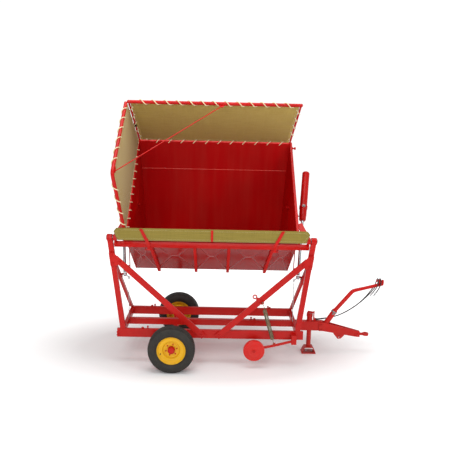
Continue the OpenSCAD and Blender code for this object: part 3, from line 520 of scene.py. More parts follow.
# Weld seams join the members: a bead laid in short overlapping ripples.


def bead(path, radius=0.006, ripple=0.011):
    """A weld bead: a thin bar along a path whose radius swells and sinks every ripple."""
    path = np.asarray(path, float)
    length = np.linalg.norm(np.diff(path, axis=0), axis=1).sum()
    n = max(8, int(length / ripple * 3))
    run = run_along(path)
    t = np.linspace(0, length, n)
    fine = np.stack([np.interp(t, run, path[:, k]) for k in range(3)], axis=1)
    swell = 1.0 + 0.16 * np.abs(np.sin(np.pi * t / ripple))
    return swept("bead", fine, radius * swell, 6)


cross_in, rail_in, beam_side_y = 1500, 575, 45
seams = []
for side in (-1, 1):
    for y in (-rail_in, rail_in):
        seams.append(chassis([(side * (cross_in + 2), y, 502), (side * (cross_in + 2), y, 608)]))
        seams.append(chassis([(side * (cross_in + 4), y, 610), (side * (cross_in + 56), y, 610)]))
    beam_end = side * cross_in
    for y in (-beam_side_y, beam_side_y):
        seams.append(chassis([(beam_end, y, 503), (beam_end, y, 607)]))
    seams.append(chassis([(beam_end, -beam_side_y, 610), (beam_end, beam_side_y, 610)]))
    seams.append(chassis([(-718, side * rail_in, 480), (-582, side * rail_in, 480)]))
done(joined("chassis_welds", [bead(s) for s in seams]), red)

# ---- Bolts ---------------------------------------------------------------------------
# Hexagon bolts with washers, sprayed over with the frame, stand where the real joints are
# bolted, and round spacers hold the gussets off the posts.


def hex_bolt(centre, way, flat=0.024, tall=0.012):
    """A washer and a hexagon head with a chamfered top, standing on centre along way."""
    washer = flat * 0.78
    head = hexagon(flat)
    outline = [(0.0, washer), (0.0022, washer), (0.003, washer * 0.94), (0.003, head),
               (0.003 + tall * 0.8, head), (0.003 + tall, np.minimum(head, flat * 0.49)),
               (0.003 + tall * 1.02, flat * 0.25)]
    return turned("bolt", outline, centre, way)


def paint_bolt_steel(tree, where, shader):
    """Bolt steel: oiled grey with brown rust in the pits."""
    rust = cloud(tree, where.outputs["Object"], 55.0, 7.0, 0.7)
    share = spread(tree, rust, 0.5, 0.68)
    feed(tree, shader, Base_Color=between(tree, share, colour(140, 140, 140), colour(110, 72, 48)),
         Roughness=spread(tree, share, 0.0, 1.0, 0.35, 0.8),
         Metallic=spread(tree, share, 0.0, 1.0, 0.9, 0.1))
    raised(tree, shader, rust, 0.0008)


bolt_steel = finish_of("bolt_steel", paint_bolt_steel)
post_foot, rail_top, post_lean = 1520, 630, math.radians(7.4)


def frame_x(z):
    """How far from the chassis's middle the line of a leaning post stands at height z."""
    return post_foot + (z - rail_top) * math.tan(post_lean)


out_y = (0.0, -1.0, 0.0)
near_face, brace_out, gusset_out = -635, -665, -673
gusset_bolts_z = (1800, 1950)
bolts = []
for side in (-1, 1):
    for z in gusset_bolts_z:
        bolts.append((spot(side * frame_x(z), gusset_out, z), out_y, 0.030))
    bolts.append((spot(side * 1562, gusset_out, 1835), out_y, 0.026))
    bolts.append((spot(side * 150, brace_out, 545), out_y, 0.034))
    for x, z in ((2010, 460), (2045, 460), (2010, 560), (2045, 560)):
        bolts.append((spot(x, side * 75, z), (0, side, 0), 0.026))
    for x in (2728, 2690):
        bolts.append((spot(x, side * 36, 372), (0, side, 0), 0.030))
for z in (518, 566):
    bolts.append((spot(-1602, near_face, z), out_y, 0.034))
for x, y in ((-1180, -605), (-1150, 605), (1130, 605), (800, 0)):
    z = rail_top if y else 610
    bolts.append((spot(x, y, z), (0, 0, 1), 0.040))
made = joined("frame_bolts", [hex_bolt(c, w, flat, flat * 0.55) for c, w, flat in bolts])
done(made, red, sharp=25.0, replaced=["bolt_set"])
spacers = [turned("spacer", [(0.0, 0.018), (0.0, 0.020), (0.030, 0.020), (0.030, 0.018)],
                  spot(side * frame_x(z), near_face, z), out_y, 32)
           for side in (-1, 1) for z in gusset_bolts_z]
done(joined("gusset_spacers", spacers), red)

# ---- Wheels --------------------------------------------------------------------------
# A ribbed implement tyre of 800 mm on a pressed steel wheel in yellow enamel, clamped by
# six nuts to a red cast hub with a pressed cap, turning on the axle's spindle.

wheel_places = {"near": (-1, spot(-650, -955, 400)),
                "far": (1, spot(-650, 955, 400))}
tyre_r, bead_r = 0.400, 0.246


def paint_tyre(tree, where, shader):
    """Natural rubber: near black, grey bloom in patches and fine specks of dust."""
    bloom = cloud(tree, where.outputs["Object"], 9.0, 5.0)
    grit = cloud(tree, where.outputs["Object"], 90.0, 8.0, 0.7)
    base = between(tree, spread(tree, bloom, 0.38, 0.68), colour(14, 14, 13), colour(32, 30, 24))
    tone = between(tree, spread(tree, grit, 0.5, 0.72, 0.0, 0.2), base, road_dust)
    feed(tree, shader, Base_Color=tone, Roughness=spread(tree, grit, 0.35, 0.7, 0.5, 0.85))
    raised(tree, shader, grit, 0.0007)


tyre_rubber = finish_of("tyre_rubber", paint_tyre)


def tyre(name, centre):
    """A tyre as a closed section carried round the axle. The section is a rounded box:
    from bead to bead its radius rises to the shoulder, and over the tread four grooves
    wander as a zigzag of 36 turns while small sipes cut the ribs at the two shoulders."""
    turns, across = 288, 84
    tread_share, tread_half, shoulder = 0.50, 0.098, 0.010
    a = np.linspace(0, 2 * np.pi, turns, endpoint=False)[:, None]
    s = np.linspace(-1.0, 1.0, across)[None, :]
    # half width against radius: full at mid wall, drawn in to the bead and the shoulder
    # wall is 0 at the shoulder and 1 at the bead
    wall = np.clip((np.abs(s) - tread_share) / (1 - tread_share), 0, 1)
    on_tread = np.abs(s) < tread_share
    y = np.sign(s) * np.where(on_tread, np.abs(s) / tread_share * tread_half,
                              tread_half
                              + 0.027 * np.sin(np.pi * np.clip(wall * 0.86, 0, 1)) ** 0.8
                              - 0.018 * np.clip(wall - 0.72, 0, 1) / 0.28)
    r = np.where(on_tread, tyre_r - shoulder * (np.abs(s) / tread_share) ** 4,
                 tyre_r - shoulder - (tyre_r - shoulder - bead_r) * wall ** 1.15)
    zig = 0.006 * np.abs(((a * 36 / np.pi) % 2) - 1) - 0.003
    groove = np.zeros(np.broadcast_shapes(a.shape, s.shape))
    for g in (-0.054, -0.018, 0.018, 0.054):
        groove = np.maximum(groove, np.exp(-(((y - g - zig) / 0.0045) ** 4)))
    sipe = np.exp(-((((a * 72 / np.pi) % 2) - 1) / 0.16) ** 4) * (np.abs(y) > 0.066)
    tread = on_tread * (0.010 * groove + 0.006 * sipe * (1 - groove))
    ring = 0.0016 * (np.exp(-((wall - 0.30) / 0.02) ** 2) + np.exp(-((wall - 0.86) / 0.03) ** 2)
                     + np.exp(-((wall - 0.93) / 0.015) ** 2))
    r = r - tread
    y = y * np.ones_like(r) + np.sign(s) * ring
    # close the section inside the rim
    well_r, well_half = bead_r - 0.0005, 0.083
    y = np.hstack([y, np.full((turns, 1), well_half), np.full((turns, 1), -well_half)])
    r = np.hstack([r, np.full((turns, 2), well_r)])
    points = np.stack([centre[0] + r * np.cos(a), centre[1] + y, centre[2] + r * np.sin(a)], -1)
    return closed_mesh(name, points, ring_faces(turns, across + 2, True, True))


def spun(name, outline, centre, side, sides):
    """A wheel's closed outline carried round the axle: it is a list of (distance outwards
    from the wheel's middle, radius) pairs, and side is -1 where outwards is the near side."""
    points = np.array(outline)
    a = np.linspace(0, 2 * np.pi, sides, endpoint=False)[None, :]
    ring = np.stack([centre[0] + points[:, 1:] * np.cos(a),
                     np.broadcast_to(centre[1] + side * points[:, :1], (len(points), sides)),
                     centre[2] + points[:, 1:] * np.sin(a)], -1)
    return closed_mesh(name, ring, ring_faces(len(points), sides, True, True))


yellow = enamel_finish("yellow_enamel", colour(226, 168, 0), colour(236, 182, 4), 1.2, gloss=0.3,
                       coat=0.1, shine=0.3)
wheel_outline = [
    (-0.084, 0.236), (-0.084, 0.2445), (-0.078, 0.2448), (-0.060, 0.230), (-0.030, 0.212),
    (0.020, 0.212), (0.046, 0.222), (0.062, 0.2300), (0.078, 0.2448), (0.0845, 0.2445),
    (0.0850, 0.238), (0.080, 0.232), (0.066, 0.222), (0.056, 0.213), (0.052, 0.200),
    (0.053, 0.186), (0.056, 0.172), (0.055, 0.161), (0.050, 0.153), (0.038, 0.146),
    (0.020, 0.140), (0.014, 0.132), (0.014, 0.115), (0.018, 0.110), (0.018, 0.080),
    (0.014, 0.075), (0.014, 0.0625), (0.003, 0.0625), (0.003, 0.150), (0.036, 0.162),
    (0.040, 0.208), (-0.056, 0.208), (-0.076, 0.232)]
hub_outline = [
    (-0.070, 0.034), (-0.070, 0.050), (-0.014, 0.052), (-0.012, 0.118), (0.002, 0.118),
    (0.002, 0.061), (0.052, 0.0605), (0.056, 0.0585), (0.060, 0.0605), (0.076, 0.059),
    (0.086, 0.052), (0.093, 0.038), (0.096, 0.020), (0.097, 0.004)]
valve_outline = [(0.0, 0.005), (0.0, 0.008), (0.008, 0.0075), (0.012, 0.0045), (0.030, 0.0042),
                 (0.031, 0.0055), (0.040, 0.0052), (0.041, 0.003)]
nut_r, valve_r = 0.096, 0.190
for label, (side, centre) in wheel_places.items():
    body = label + "_wheel"
    done(tyre(label + "_tyre_rubber", centre), tyre_rubber, body,
         replaced=[label + "_tyre"])
    rim = spun(label + "_wheel_rim", wheel_outline, centre, side, 128)
    done(rim, yellow, body, 30.0, [label + "_rim"])
    parts = [turned("cap", hub_outline, centre, (0, side, 0), 64)]
    for k in range(6):
        turn_by = math.radians(60 * k + 14)
        at = centre + (nut_r * math.cos(turn_by), side * 0.014, nut_r * math.sin(turn_by))
        parts.append(hex_bolt(at, (0, side, 0), 0.022, 0.014))
    hub = joined(label + "_wheel_hub", parts)
    done(hub, red, body, 30.0, [label + "_hub"])
    lean = math.radians(200)
    foot = centre + (valve_r * math.cos(lean), side * 0.052, valve_r * math.sin(lean))
    valve = turned(label + "_valve_stem", valve_outline, foot,
                   (0.15 * math.cos(lean), side, 0.15 * math.sin(lean)), 16)
    done(valve, tyre_rubber, body)

# ---- End frames ----------------------------------------------------------------------
# Each end has a leaning post, a strut to the far rail, a flat brace down to the middle of
# the near rail with a gusset plate, all of box section, bolted and welded.

for end in ("rear", "front"):
    softened("post_" + end, red, 0.006)
    softened("strut_" + end, red, 0.005)
    softened("brace_" + end, red, 0.005)
softened("frame_gussets", red, 0.0025)
softened("pivot_pins", bolt_steel, 0.003)
softened("spring_eye_plate", red, 0.002)
seams = []
for side in (-1, 1):
    foot_x = side * frame_x(rail_top)
    for dx in (-46, 46):
        seams.append(chassis([(foot_x + dx, -634, 631), (foot_x + dx, -576, 631)]))
    seams.append(chassis([(foot_x - 46, -575, 631), (foot_x + 46, -575, 631)]))
    for x in (1517, 1573):
        seams.append(chassis([(side * x, 577, 631), (side * x, 633, 631)]))
done(joined("frame_welds", [bead(s, 0.005) for s in seams]), red)

# ---- Drawbar -------------------------------------------------------------------------
# A box beam with two tapering side bars bolted to it; a forged eye is clamped between
# their ends, and a socket between the bars holds the hose mast.

for node in ("drawbar_beam", "drawbar_bars", "mast_socket", "jack_sleeve"):
    softened(node, red, 0.004)
softened("hitch_eye", red, 0.005)
softened("hose_saddle", red, 0.0015)
mast_line = [(2127, 0, 575), (2285, 0, 825), (2420, 0, 990), (2545, 0, 1145), (2575, 0, 1180),
             (2600, 0, 1199), (2640, 0, 1213), (2800, 0, 1254), (3000, 0, 1306), (3130, 0, 1340)]
mast = swept("hose_mast_tube", chassis(mast_line),
             np.array([37, 37, 37, 37, 36.5, 35.5, 33, 30, 30, 30]) / 1000, 40, (0.0, 1.0, 0.0))
hook = swept("mast_hook", chassis([(3122, 0, 1330), (3123, 0, 1350), (3124, 0, 1375),
                                   (3124, 0, 1396), (3124, 0, 1411), (3124, 0, 1420)]),
             np.array([22, 22, 22, 21.5, 18, 9]) / 1000, 32, (0.0, 1.0, 0.0))
done(joined("hose_mast_tube", [mast, hook]), red, replaced=["hose_mast"])
collar = turned("mast_collar", [(0.0, 0.040), (0.0, 0.055), (0.004, 0.057), (0.024, 0.057),
                                (0.028, 0.055), (0.028, 0.040)],
                spot(2258, 0, 782), (200, 0, 320), 40)
bolt = hex_bolt(spot(2238, -50, 765), out_y, 0.024, 0.014)
done(joined("mast_clamp", [collar, bolt]), bolt_steel, sharp=30.0)

# ---- Parking jack --------------------------------------------------------------------
# A sleeve through the beam guides the leg with its pressed foot; a crank with an upright
# handle on top winds it by a hidden screw.

softened("jack_leg", red, 0.003, "jack_leg")
softened("jack_crank", red, 0.002, "jack_crank")
pins = []
for x in (-50, 50):
    pins.append(hex_bolt(spot(1820 + x, -80, 68), out_y, 0.020, 0.010))
done(joined("foot_pins", pins), bolt_steel, "jack_leg", 30.0)

# ---- Disc wheel on its sprung arm ----------------------------------------------------
# A plain turned disc in brighter red runs beside the cart on a flat arm, which swings on
# a pin under the near rail and is held by a long tension spring.

bright_red = enamel_finish("bright_red_enamel", colour(206, 22, 14), colour(218, 32, 22), 0.4,
                           gloss=0.3, coat=0.1, shine=0.3)
softened("arm_bracket", red, 0.002)
softened("disc_arm", red, 0.002, "disc_arm")
disc_centre = spot(760, -761, 322)
disc_outline = [
    (-0.035, 0.0165), (-0.035, 0.040), (-0.010, 0.042), (-0.008, 0.150), (-0.010, 0.168),
    (-0.034, 0.173), (-0.035, 0.1765), (-0.031, 0.1835), (-0.024, 0.185), (0.020, 0.185),
    (0.030, 0.1825), (0.035, 0.175), (0.035, 0.166), (0.033, 0.1625), (0.027, 0.160),
    (0.0255, 0.150), (0.027, 0.108), (0.0295, 0.104), (0.0295, 0.098), (0.027, 0.094),
    (0.026, 0.046), (0.029, 0.042), (0.035, 0.039), (0.0355, 0.026), (0.035, 0.0165)]
disc = spun("disc_wheel_turned", disc_outline, disc_centre, -1, 112)
done(disc, bright_red, "disc_wheel", 30.0, ["disc_wheel"])

coil_top, coil_foot = spot(912, -712, 1088), spot(1092, -712, 470)
coil_way = unit(coil_foot - coil_top)
coil_side = np.cross(coil_way, (0, 1, 0))
coil_turns, coil_radius, wire = 40, 0.0305, 0.0050
t = np.linspace(0, 1, coil_turns * 16 + 1)
lap = 2 * np.pi * coil_turns * t
swell = np.clip(np.minimum(t, 1 - t) * 30, 0.25, 1.0)
axis_points = coil_top + np.outer(0.034 + t * 0.576, coil_way)
coil = axis_points + (coil_radius * swell)[:, None] * (
    np.cos(lap)[:, None] * coil_side + np.sin(lap)[:, None] * np.array([0.0, 1.0, 0.0]))
upper_hook = eased(chassis([(889, -652, 1136), (884, -654, 1156), (880, -674, 1166),
                            (883, -704, 1163), (893, -719, 1146), (904, -716, 1128)]), 5)
lower_hook = eased(chassis([(1092, -716, 474), (1099, -736, 456), (1105, -737, 438),
                            (1109, -722, 424), (1110, -700, 424), (1106, -692, 440)]), 5)
spring_line = np.vstack([upper_hook, coil, lower_hook])


def paint_spring(tree, where, shader):
    """Spring wire under a thin yellow-green passivation, worn bright on the coils."""
    wear = cloud(tree, where.outputs["Object"], 60.0, 6.0)
    tone = between(tree, spread(tree, wear, 0.4, 0.7), colour(118, 120, 88), colour(156, 156, 134))
    feed(tree, shader, Base_Color=tone, Roughness=spread(tree, wear, 0.35, 0.7, 0.48, 0.3))
    raised(tree, shader, wear, 0.0003)


spring_wire = finish_of("spring_wire", paint_spring, Metallic=0.85)


def wound(name, path, radius, sides):
    """A round wire along a path that twists: at each point a circle stands on one fixed
    direction, from which the part that lies along the wire is taken out."""
    way = units(np.gradient(path, axis=0))
    spine = np.array([0.3, 0.9, 0.2])
    across = units(np.cross(way, np.cross(spine, way)))[:, None, :]
    up = np.cross(way, across[:, 0])[:, None, :]
    a = np.linspace(0, 2 * np.pi, sides, endpoint=False)[None, :, None]
    rings = path[:, None, :] + radius * (across * np.cos(a) + up * np.sin(a))
    return closed_mesh(name, rings, capped(len(path), sides))


spring = wound("spring_coil", spring_line, wire, 8)
done(spring, spring_wire, None, 60.0, ["arm_spring"])
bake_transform(spring)

# ---- Tipping bin ---------------------------------------------------------------------
# A tapering hopper of 6 mm sheet: a near wall with pressed crossing ridges between four
# channel ribs, a sloping floor, a folded far wall, two leaning end walls, a tube rim.

tip = math.radians(41.5)
pin_u, pin_v = 0.030, 0.034       # the tipping pins in the bin's own section, in metres
pin_y, pin_z = -0.605, 2.240      # and where they stand over the chassis


def binned(points):
    """Points in millimetres in the lowered bin's own frame, tipped and put in place."""
    p = np.asarray(points, float).reshape(-1, 3) / 1000.0
    u, v = p[:, 1] - pin_u, p[:, 2] - pin_v
    return np.stack([p[:, 0] - back, pin_y + u * math.cos(tip) - v * math.sin(tip),
                     pin_z + u * math.sin(tip) + v * math.cos(tip)], axis=1)


def binned_way(way):
    """A direction in the bin's own frame, turned as the bin is."""
    return unit((binned([way]) - binned([(0, 0, 0)]))[0])


def shell(name, outer, inner, uv=None):
    """A closed sheet from two grids of the same size, its outer and its inner face, with
    the four edges between them filled in."""
    rows, cols = outer.shape[:2]
    half = rows * cols
    face = np.array(ring_faces(rows, cols, False, False))
    border = np.concatenate([np.arange(cols), np.arange(1, rows) * cols + cols - 1,
                             np.arange(cols - 2, -1, -1) + (rows - 1) * cols,
                             np.arange(rows - 2, 0, -1) * cols])
    after = np.roll(border, -1)
    edge = np.stack([border, after, after + half, border + half], axis=1)
    pair = None if uv is None else np.vstack([uv.reshape(-1, 2)] * 2)
    return closed_mesh(name, np.vstack([outer.reshape(-1, 3), inner.reshape(-1, 3)]),
                       np.vstack([face, face[:, ::-1] + half, edge]).tolist(), pair)


def ridge(x, y, a, b, width):
    """A rounded ridge along the line from a to b: it falls off as a bell of that width
    with the distance from the line."""
    a, b = np.array(a, float), np.array(b, float)
    d = b - a
    t = np.clip(((x - a[0]) * d[0] + (y - a[1]) * d[1]) / (d @ d), 0, 1)
    far = np.hypot(x - a[0] - t * d[0], y - a[1] - t * d[1])
    return np.exp(-((far / width) ** 2))


# The near wall's enamel is a darker copy of the red: painted shade on the wall's outer face.
near_wall_shaded_red = enamel_finish("near_wall_enamel_painted_shade", colour(136, 5, 4), colour(154, 9, 7), 0.6, 0.16, 0.0005,
                         1.0, 0.9)
# The inside's enamel is a darker copy of the red too: painted shade on the bin's floor, far wall,
# end walls and their bolts.
inner_shaded_red = enamel_finish("inner_enamel_painted_shade", colour(160, 0, 2), colour(174, 1, 3), 0.6, 0.5, 0.0003,
                          0.0, 0.05)
wall_h, half_w, taper, sheet_t = 900.9, 1450.0, 0.09, 6.0
down = np.linspace(0, wall_h, 112)[:, None]
share = np.linspace(-1, 1, 380)[None, :]
x = share * (half_w - taper * down)
rib_top_x, rib_foot_x = np.array([-1050, -295, 295, 1050]), np.array([-950, -285, 285, 950])
rib_start, rib_long = 100, 830
ribs_x = rib_top_x + (rib_foot_x - rib_top_x) * ((down - rib_start) / rib_long)
edges_x = np.concatenate([-(half_w - taper * down), ribs_x, half_w - taper * down], axis=1)
press = np.zeros_like(x)
press_top, press_foot, press_mid, press_in, press_w = 75.0, 850.0, 455.0, 30.0, 6.5
for k in range(5):
    left, right = edges_x[:, k:k + 1], edges_x[:, k + 1:k + 2]
    wide = float(np.mean(right - left))
    s_in = np.clip((x - left) / (right - left), 0, 1) * wide
    within = (x >= left) & (x <= right)
    fork_a, fork_b = (0.42 * wide, press_mid), (0.58 * wide, press_mid)
    for a, b in (((press_in, press_top), fork_a), (fork_b, (wide - press_in, press_top)),
                 ((press_in, press_foot), fork_a), (fork_b, (wide - press_in, press_foot)),
                 (fork_a, fork_b)):
        press = np.maximum(press, within * ridge(s_in, down + 0 * x, a, b, press_w))
ripple = 0.8 * np.sin(x / 210.0) * np.sin(down / 130.0) * np.sin(np.pi * down / wall_h)
lift = 7.5 * press + ripple - 0.8
slope = np.array([40.0, -900.0]) / wall_h
out_u, out_v = slope[1], -slope[0]
u, v = slope[0] * down, slope[1] * down
outer = np.stack([x, u + out_u * lift, v + out_v * lift], -1)
inner = np.stack([x, u + out_u * (lift - sheet_t), v + out_v * (lift - sheet_t)], -1)
wall = shell("near_wall_pressed", binned(outer).reshape(outer.shape),
             binned(inner).reshape(inner.shape))
# The near wall takes the darker enamel: painted shade.
done(wall, near_wall_shaded_red, "bin", 50.0, ["near_wall"])

# The floor, far wall and end walls take the darker inner enamel: painted shade.
for node in ("bin_floor", "far_wall"):
    softened(node, inner_shaded_red, 0.0015, "bin")
for end in ("rear", "front"):
    softened("end_wall_" + end, inner_shaded_red, 0.0015, "bin")
    softened("rim_" + end, red, 0.005, "bin")
softened("rim_far", red, 0.005, "bin")
softened("wall_ribs", red, 0.004, "bin")
softened("pivot_beam", red, 0.004, "bin")

seams = []
for top, foot in zip(rib_top_x, rib_foot_x):
    for edge in (-26, 26):
        for start in range(130, 860, 150):
            run = np.array([start, start + 55.0])
            sx = top + (foot - top) * (run - rib_start) / rib_long + edge
            seams.append(binned([(sx[i], slope[0] * run[i] - 1.0, slope[1] * run[i])
                                 for i in (0, 1)]))
for side in (-1, 1):
    section = [(0, 0), (40, -900), (1270, -1300), (2050, -405), (2390, 0)]
    for (u0, v0), (u1, v1) in zip(section, section[1:]):
        size = math.hypot(v1 - v0, u1 - u0)
        off_u, off_v = 3.0 * (v1 - v0) / size, 3.0 * (u0 - u1) / size
        seams.append(binned([(side * (half_w + 4 + taper * v0), u0 + off_u, v0 + off_v),
                             (side * (half_w + 4 + taper * v1), u1 + off_u, v1 + off_v)]))
    seams.append(binned([(side * 1456, 2388, -2), (side * 1456, 2388, -44)]))
done(joined("bin_welds", [bead(s, 0.0042, 0.014) for s in seams]), red, "bin")

# u, v, width across the flats and height of each end wall's bolts: one large, four small
bolt_places = [(1200, -505, 0.052, 0.024)] + [(u, v, 0.018, 0.008) for u, v in (
    (1130, -435), (1270, -435), (1130, -575), (1270, -575))]
wall_bolts = [hex_bolt(binned([(side * (half_w + taper * v), u, v)])[0],
                       binned_way((-side, 0, -taper)), flat, tall)
              for side in (-1, 1) for u, v, flat, tall in bolt_places]
# The end walls' bolts take the darker inner enamel as well: painted shade.
done(joined("wall_bolts", wall_bolts), inner_shaded_red, "bin", 25.0)
# A thin rod lies along the fold between the floor and the far wall; its light red is a painted
# highlight along the bend.
fold_line = binned([(k * (half_w - 8 - taper * 405), 2046, -398) for k in np.linspace(-1, 1, 40)])
fold = swept("fold_painted_highlight", fold_line, 0.0045, 10, tuple(binned_way((0, 1, 0))))
fold_highlight_red = enamel_finish("fold_enamel_painted_highlight", colour(232, 70, 60), colour(240, 90, 78))
done(fold, fold_highlight_red, "bin")
knob_outline = [(0.0, 0.014), (0.0, 0.026), (0.005, 0.028), (0.010, 0.026), (0.012, 0.014),
                (0.034, 0.013), (0.038, 0.024), (0.046, 0.030), (0.056, 0.030), (0.064, 0.024),
                (0.068, 0.010)]
knob = turned("latch_knob", knob_outline, binned([(1501, 2290, -22)])[0], (1, 0, 0), 32)
done(knob, red, "bin", 35.0)

# ---- Near lip ------------------------------------------------------------------------
# A board wrapped in olive canvas, with a welt round its edge and a sewn hem, closes the
# gap over the pivot beam; two long straps hinge it and a short strap stiffens it.


def weave_group():
    """Plain woven canvas: on the cloth's own map in metres, two sets of rounded threads
    pass over and under each other as a chequer of that pitch, with thicker slubs."""
    group = bpy.data.node_groups.new("canvas_weave", "ShaderNodeTree")
    group.interface.new_socket("Cloth", in_out="INPUT", socket_type="NodeSocketVector")
    group.interface.new_socket("Pitch", in_out="INPUT", socket_type="NodeSocketFloat")
    for label in ("Thread", "Slub", "Blotch"):
        group.interface.new_socket(label, in_out="OUTPUT", socket_type="NodeSocketFloat")
    given, out = group.nodes.new("NodeGroupInput"), group.nodes.new("NodeGroupOutput")
    parts = put(group, "ShaderNodeSeparateXYZ", {0: given.outputs["Cloth"]})
    rounds, signs = [], []
    for axis in (0, 1):
        turn = sum_of(group, "MULTIPLY",
                      sum_of(group, "DIVIDE", parts.outputs[axis], given.outputs["Pitch"]), math.pi)
        wave = sum_of(group, "SINE", turn)
        rounds.append(sum_of(group, "ABSOLUTE", wave))
        signs.append(sum_of(group, "SIGN", wave))
    over = sum_of(group, "MULTIPLY_ADD", sum_of(group, "MULTIPLY", *signs), 0.5, 0.5)
    thread = put(group, "ShaderNodeMix", {0: over, 2: rounds[0], 3: rounds[1]}).outputs[0]
    warp = cloud(group, given.outputs["Cloth"], 26.0, 4.0, 0.6, (0.10, 2.4, 1.0))
    weft = cloud(group, given.outputs["Cloth"], 26.0, 4.0, 0.6, (2.4, 0.10, 1.0))
    slub = sum_of(group, "MULTIPLY_ADD", warp, 0.65, sum_of(group, "MULTIPLY", weft, 0.35))
    blotch = cloud(group, given.outputs["Cloth"], 1.6, 5.0, 0.6)
    for label, value in (("Thread", thread), ("Slub", slub), ("Blotch", blotch)):
        group.links.new(value, out.inputs[label])
    return group


weave = weave_group()


def canvas_finish(name, dark, light, bottom_tone, low, high):
    """Waxed cotton canvas from dark to light, darker and browner towards the bottom: where the
    map's height is towards low, and plain towards high."""
    def paint(tree, where, shader):
        cloth = put(tree, "ShaderNodeGroup", node_tree=weave)
        tree.links.new(where.outputs["UV"], cloth.inputs["Cloth"])
        cloth.inputs["Pitch"].default_value = 0.0032      # metres between threads
        slub = spread(tree, cloth.outputs["Slub"], 0.38, 0.62)
        tone = between(tree, slub, dark, light)
        # The gaps between the threads are darkened towards brown: painted shade in the weave.
        gap = spread(tree, cloth.outputs["Thread"], 0.0, 0.5, 0.22, 0.0)
        tone = between(tree, gap, tone, colour(70, 58, 26))
        # Darker and browner towards the bottom of the cloth, broken up by a large blotch noise.
        rise = put(tree, "ShaderNodeSeparateXYZ", {0: where.outputs["UV"]}).outputs[1]
        lower_darkening = spread(tree, sum_of(tree, "MULTIPLY_ADD", cloth.outputs["Blotch"], 0.5, rise),
                      low, high, 0.5, 0.0)
        feed(tree, shader, Base_Color=between(tree, lower_darkening, tone, bottom_tone),
             Roughness=spread(tree, cloth.outputs["Slub"], 0.3, 0.7, 0.82, 0.96))
        height = sum_of(tree, "MULTIPLY_ADD", cloth.outputs["Slub"], 1.6, cloth.outputs["Thread"])
        raised(tree, shader, height, 0.0007)
    return finish_of(name, paint, Sheen_Weight=0.25, Sheen_Roughness=0.5,
                     Specular_IOR_Level=0.3)


lip_cloth = canvas_finish("lip_canvas", colour(132, 116, 46), colour(150, 132, 58),
                          colour(112, 90, 40), -0.05, 0.22)
canvas = canvas_finish("olive_canvas", colour(168, 142, 62), colour(186, 161, 80),
                       colour(124, 86, 28), 0.1, 1.35)
lip_half = [(1585, 0), (1650, 144), (1605, 200)]
outline = np.array(lip_half + [(-px, pz) for px, pz in lip_half[::-1]], float)
lip_y, lip_z = -669.0, 2216.0


def wrapped_board(name):
    """The lip board: rows run down from the welt on one face, over the edge and on to the
    other; each row is the board's outline drawn in towards the middle, and the cloth
    bulges 2 mm between the welt and the sewn line."""
    inset = np.array([0, 4, 9, 16, 26, 34, 60, 96.0])
    depth = np.array([0, 6.5, 10.2, 12.2, 13.0, 12.0, 13.0, 13.0])
    dense = []
    for p, q in zip(outline, np.roll(outline, -1, axis=0)):
        m = max(2, int(np.linalg.norm(q - p) / 20))
        dense.append(p + (q - p) * (np.arange(m) / m)[:, None])
    loop = np.vstack(dense)
    centre_z = 100.0
    rows = []
    for d, y in zip(inset, depth):
        px = np.sign(loop[:, 0]) * np.maximum(np.abs(loop[:, 0]) - d, 0)
        scale = (centre_z - d) / centre_z
        pz = centre_z + (loop[:, 1] - centre_z) * max(scale, 0.02)
        rows.append(np.stack([px, np.full(len(px), y), pz], axis=1))
    front = [r * (1, -1, 1) + (0, lip_y, lip_z) for r in rows]
    behind = [r + (0, lip_y, lip_z) for r in rows[1:]]
    grid = np.stack(front[::-1] + behind)
    rise = grid[..., 2] - lip_z + 6 * np.sign(grid[..., 1] - lip_y)
    uv = np.stack([grid[..., 0], rise], -1) / 1000
    return closed_mesh(name, chassis(grid), capped(*grid.shape[:2]), uv)


done(wrapped_board("lip_board_wrapped"), lip_cloth, "lip", 60.0, ["lip_board"])


def stitches(name, path, pitch=0.018, length=0.011, radius=0.0011, proud=0.0, out=(0, -1, 0)):
    """A row of sewn stitches: short six-sided bars along a path, a gap after each."""
    path = np.asarray(path, float)
    run = run_along(path)
    at = np.arange(pitch / 2, run[-1] - length, pitch)
    start = np.stack([np.interp(at, run, path[:, k]) for k in range(3)], 1)
    end = np.stack([np.interp(at + length, run, path[:, k]) for k in range(3)], 1)
    out = np.asarray(out, float)
    across = units(np.cross(units(end - start), out))
    a = np.linspace(0, 2 * np.pi, 6, endpoint=False)[None, :, None]
    ring = radius * (across[:, None, :] * np.cos(a) + out * np.sin(a))
    lift = proud * out
    points = np.concatenate([start[:, None, :] + ring + lift, end[:, None, :] + ring + lift], 1)
    base = (np.arange(len(at)) * 12)[:, None, None]
    side = np.array([[k, (k + 1) % 6, (k + 1) % 6 + 6, k + 6] for k in range(6)])[None]
    quads = (side + base).reshape(-1, 4).tolist()
    caps = [[int(b) + k for k in r] for b in base.ravel() for r in (range(5, -1, -1), range(6, 12))]
    return closed_mesh(name, points, quads + caps)


def paint_thread(tree, where, shader):
    """Waxed sewing thread and lacing rope: cream, with a twist of strands and grey dirt."""
    twist = wrap_marks(tree, where, (70.0, 3.0, 1.0))
    dirt = cloud(tree, where.outputs["Object"], 22.0, 5.0)
    grime = spread(tree, dirt, 0.42, 0.75)
    tone = between(tree, grime, colour(250, 236, 190), colour(226, 206, 156))
    # Between the strands, where the twist's bands are low, the cream is darkened towards brown:
    # painted shade in the grooves.
    tone = between(tree, spread(tree, twist, 0.0, 0.35, 0.35, 0.0), tone, colour(140, 118, 80))
    feed(tree, shader, Base_Color=tone, Roughness=spread(tree, dirt, 0.3, 0.7, 0.75, 0.95))
    raised(tree, shader, twist, 0.0012)


rope = finish_of("lacing_rope", paint_thread, Sheen_Weight=0.2)


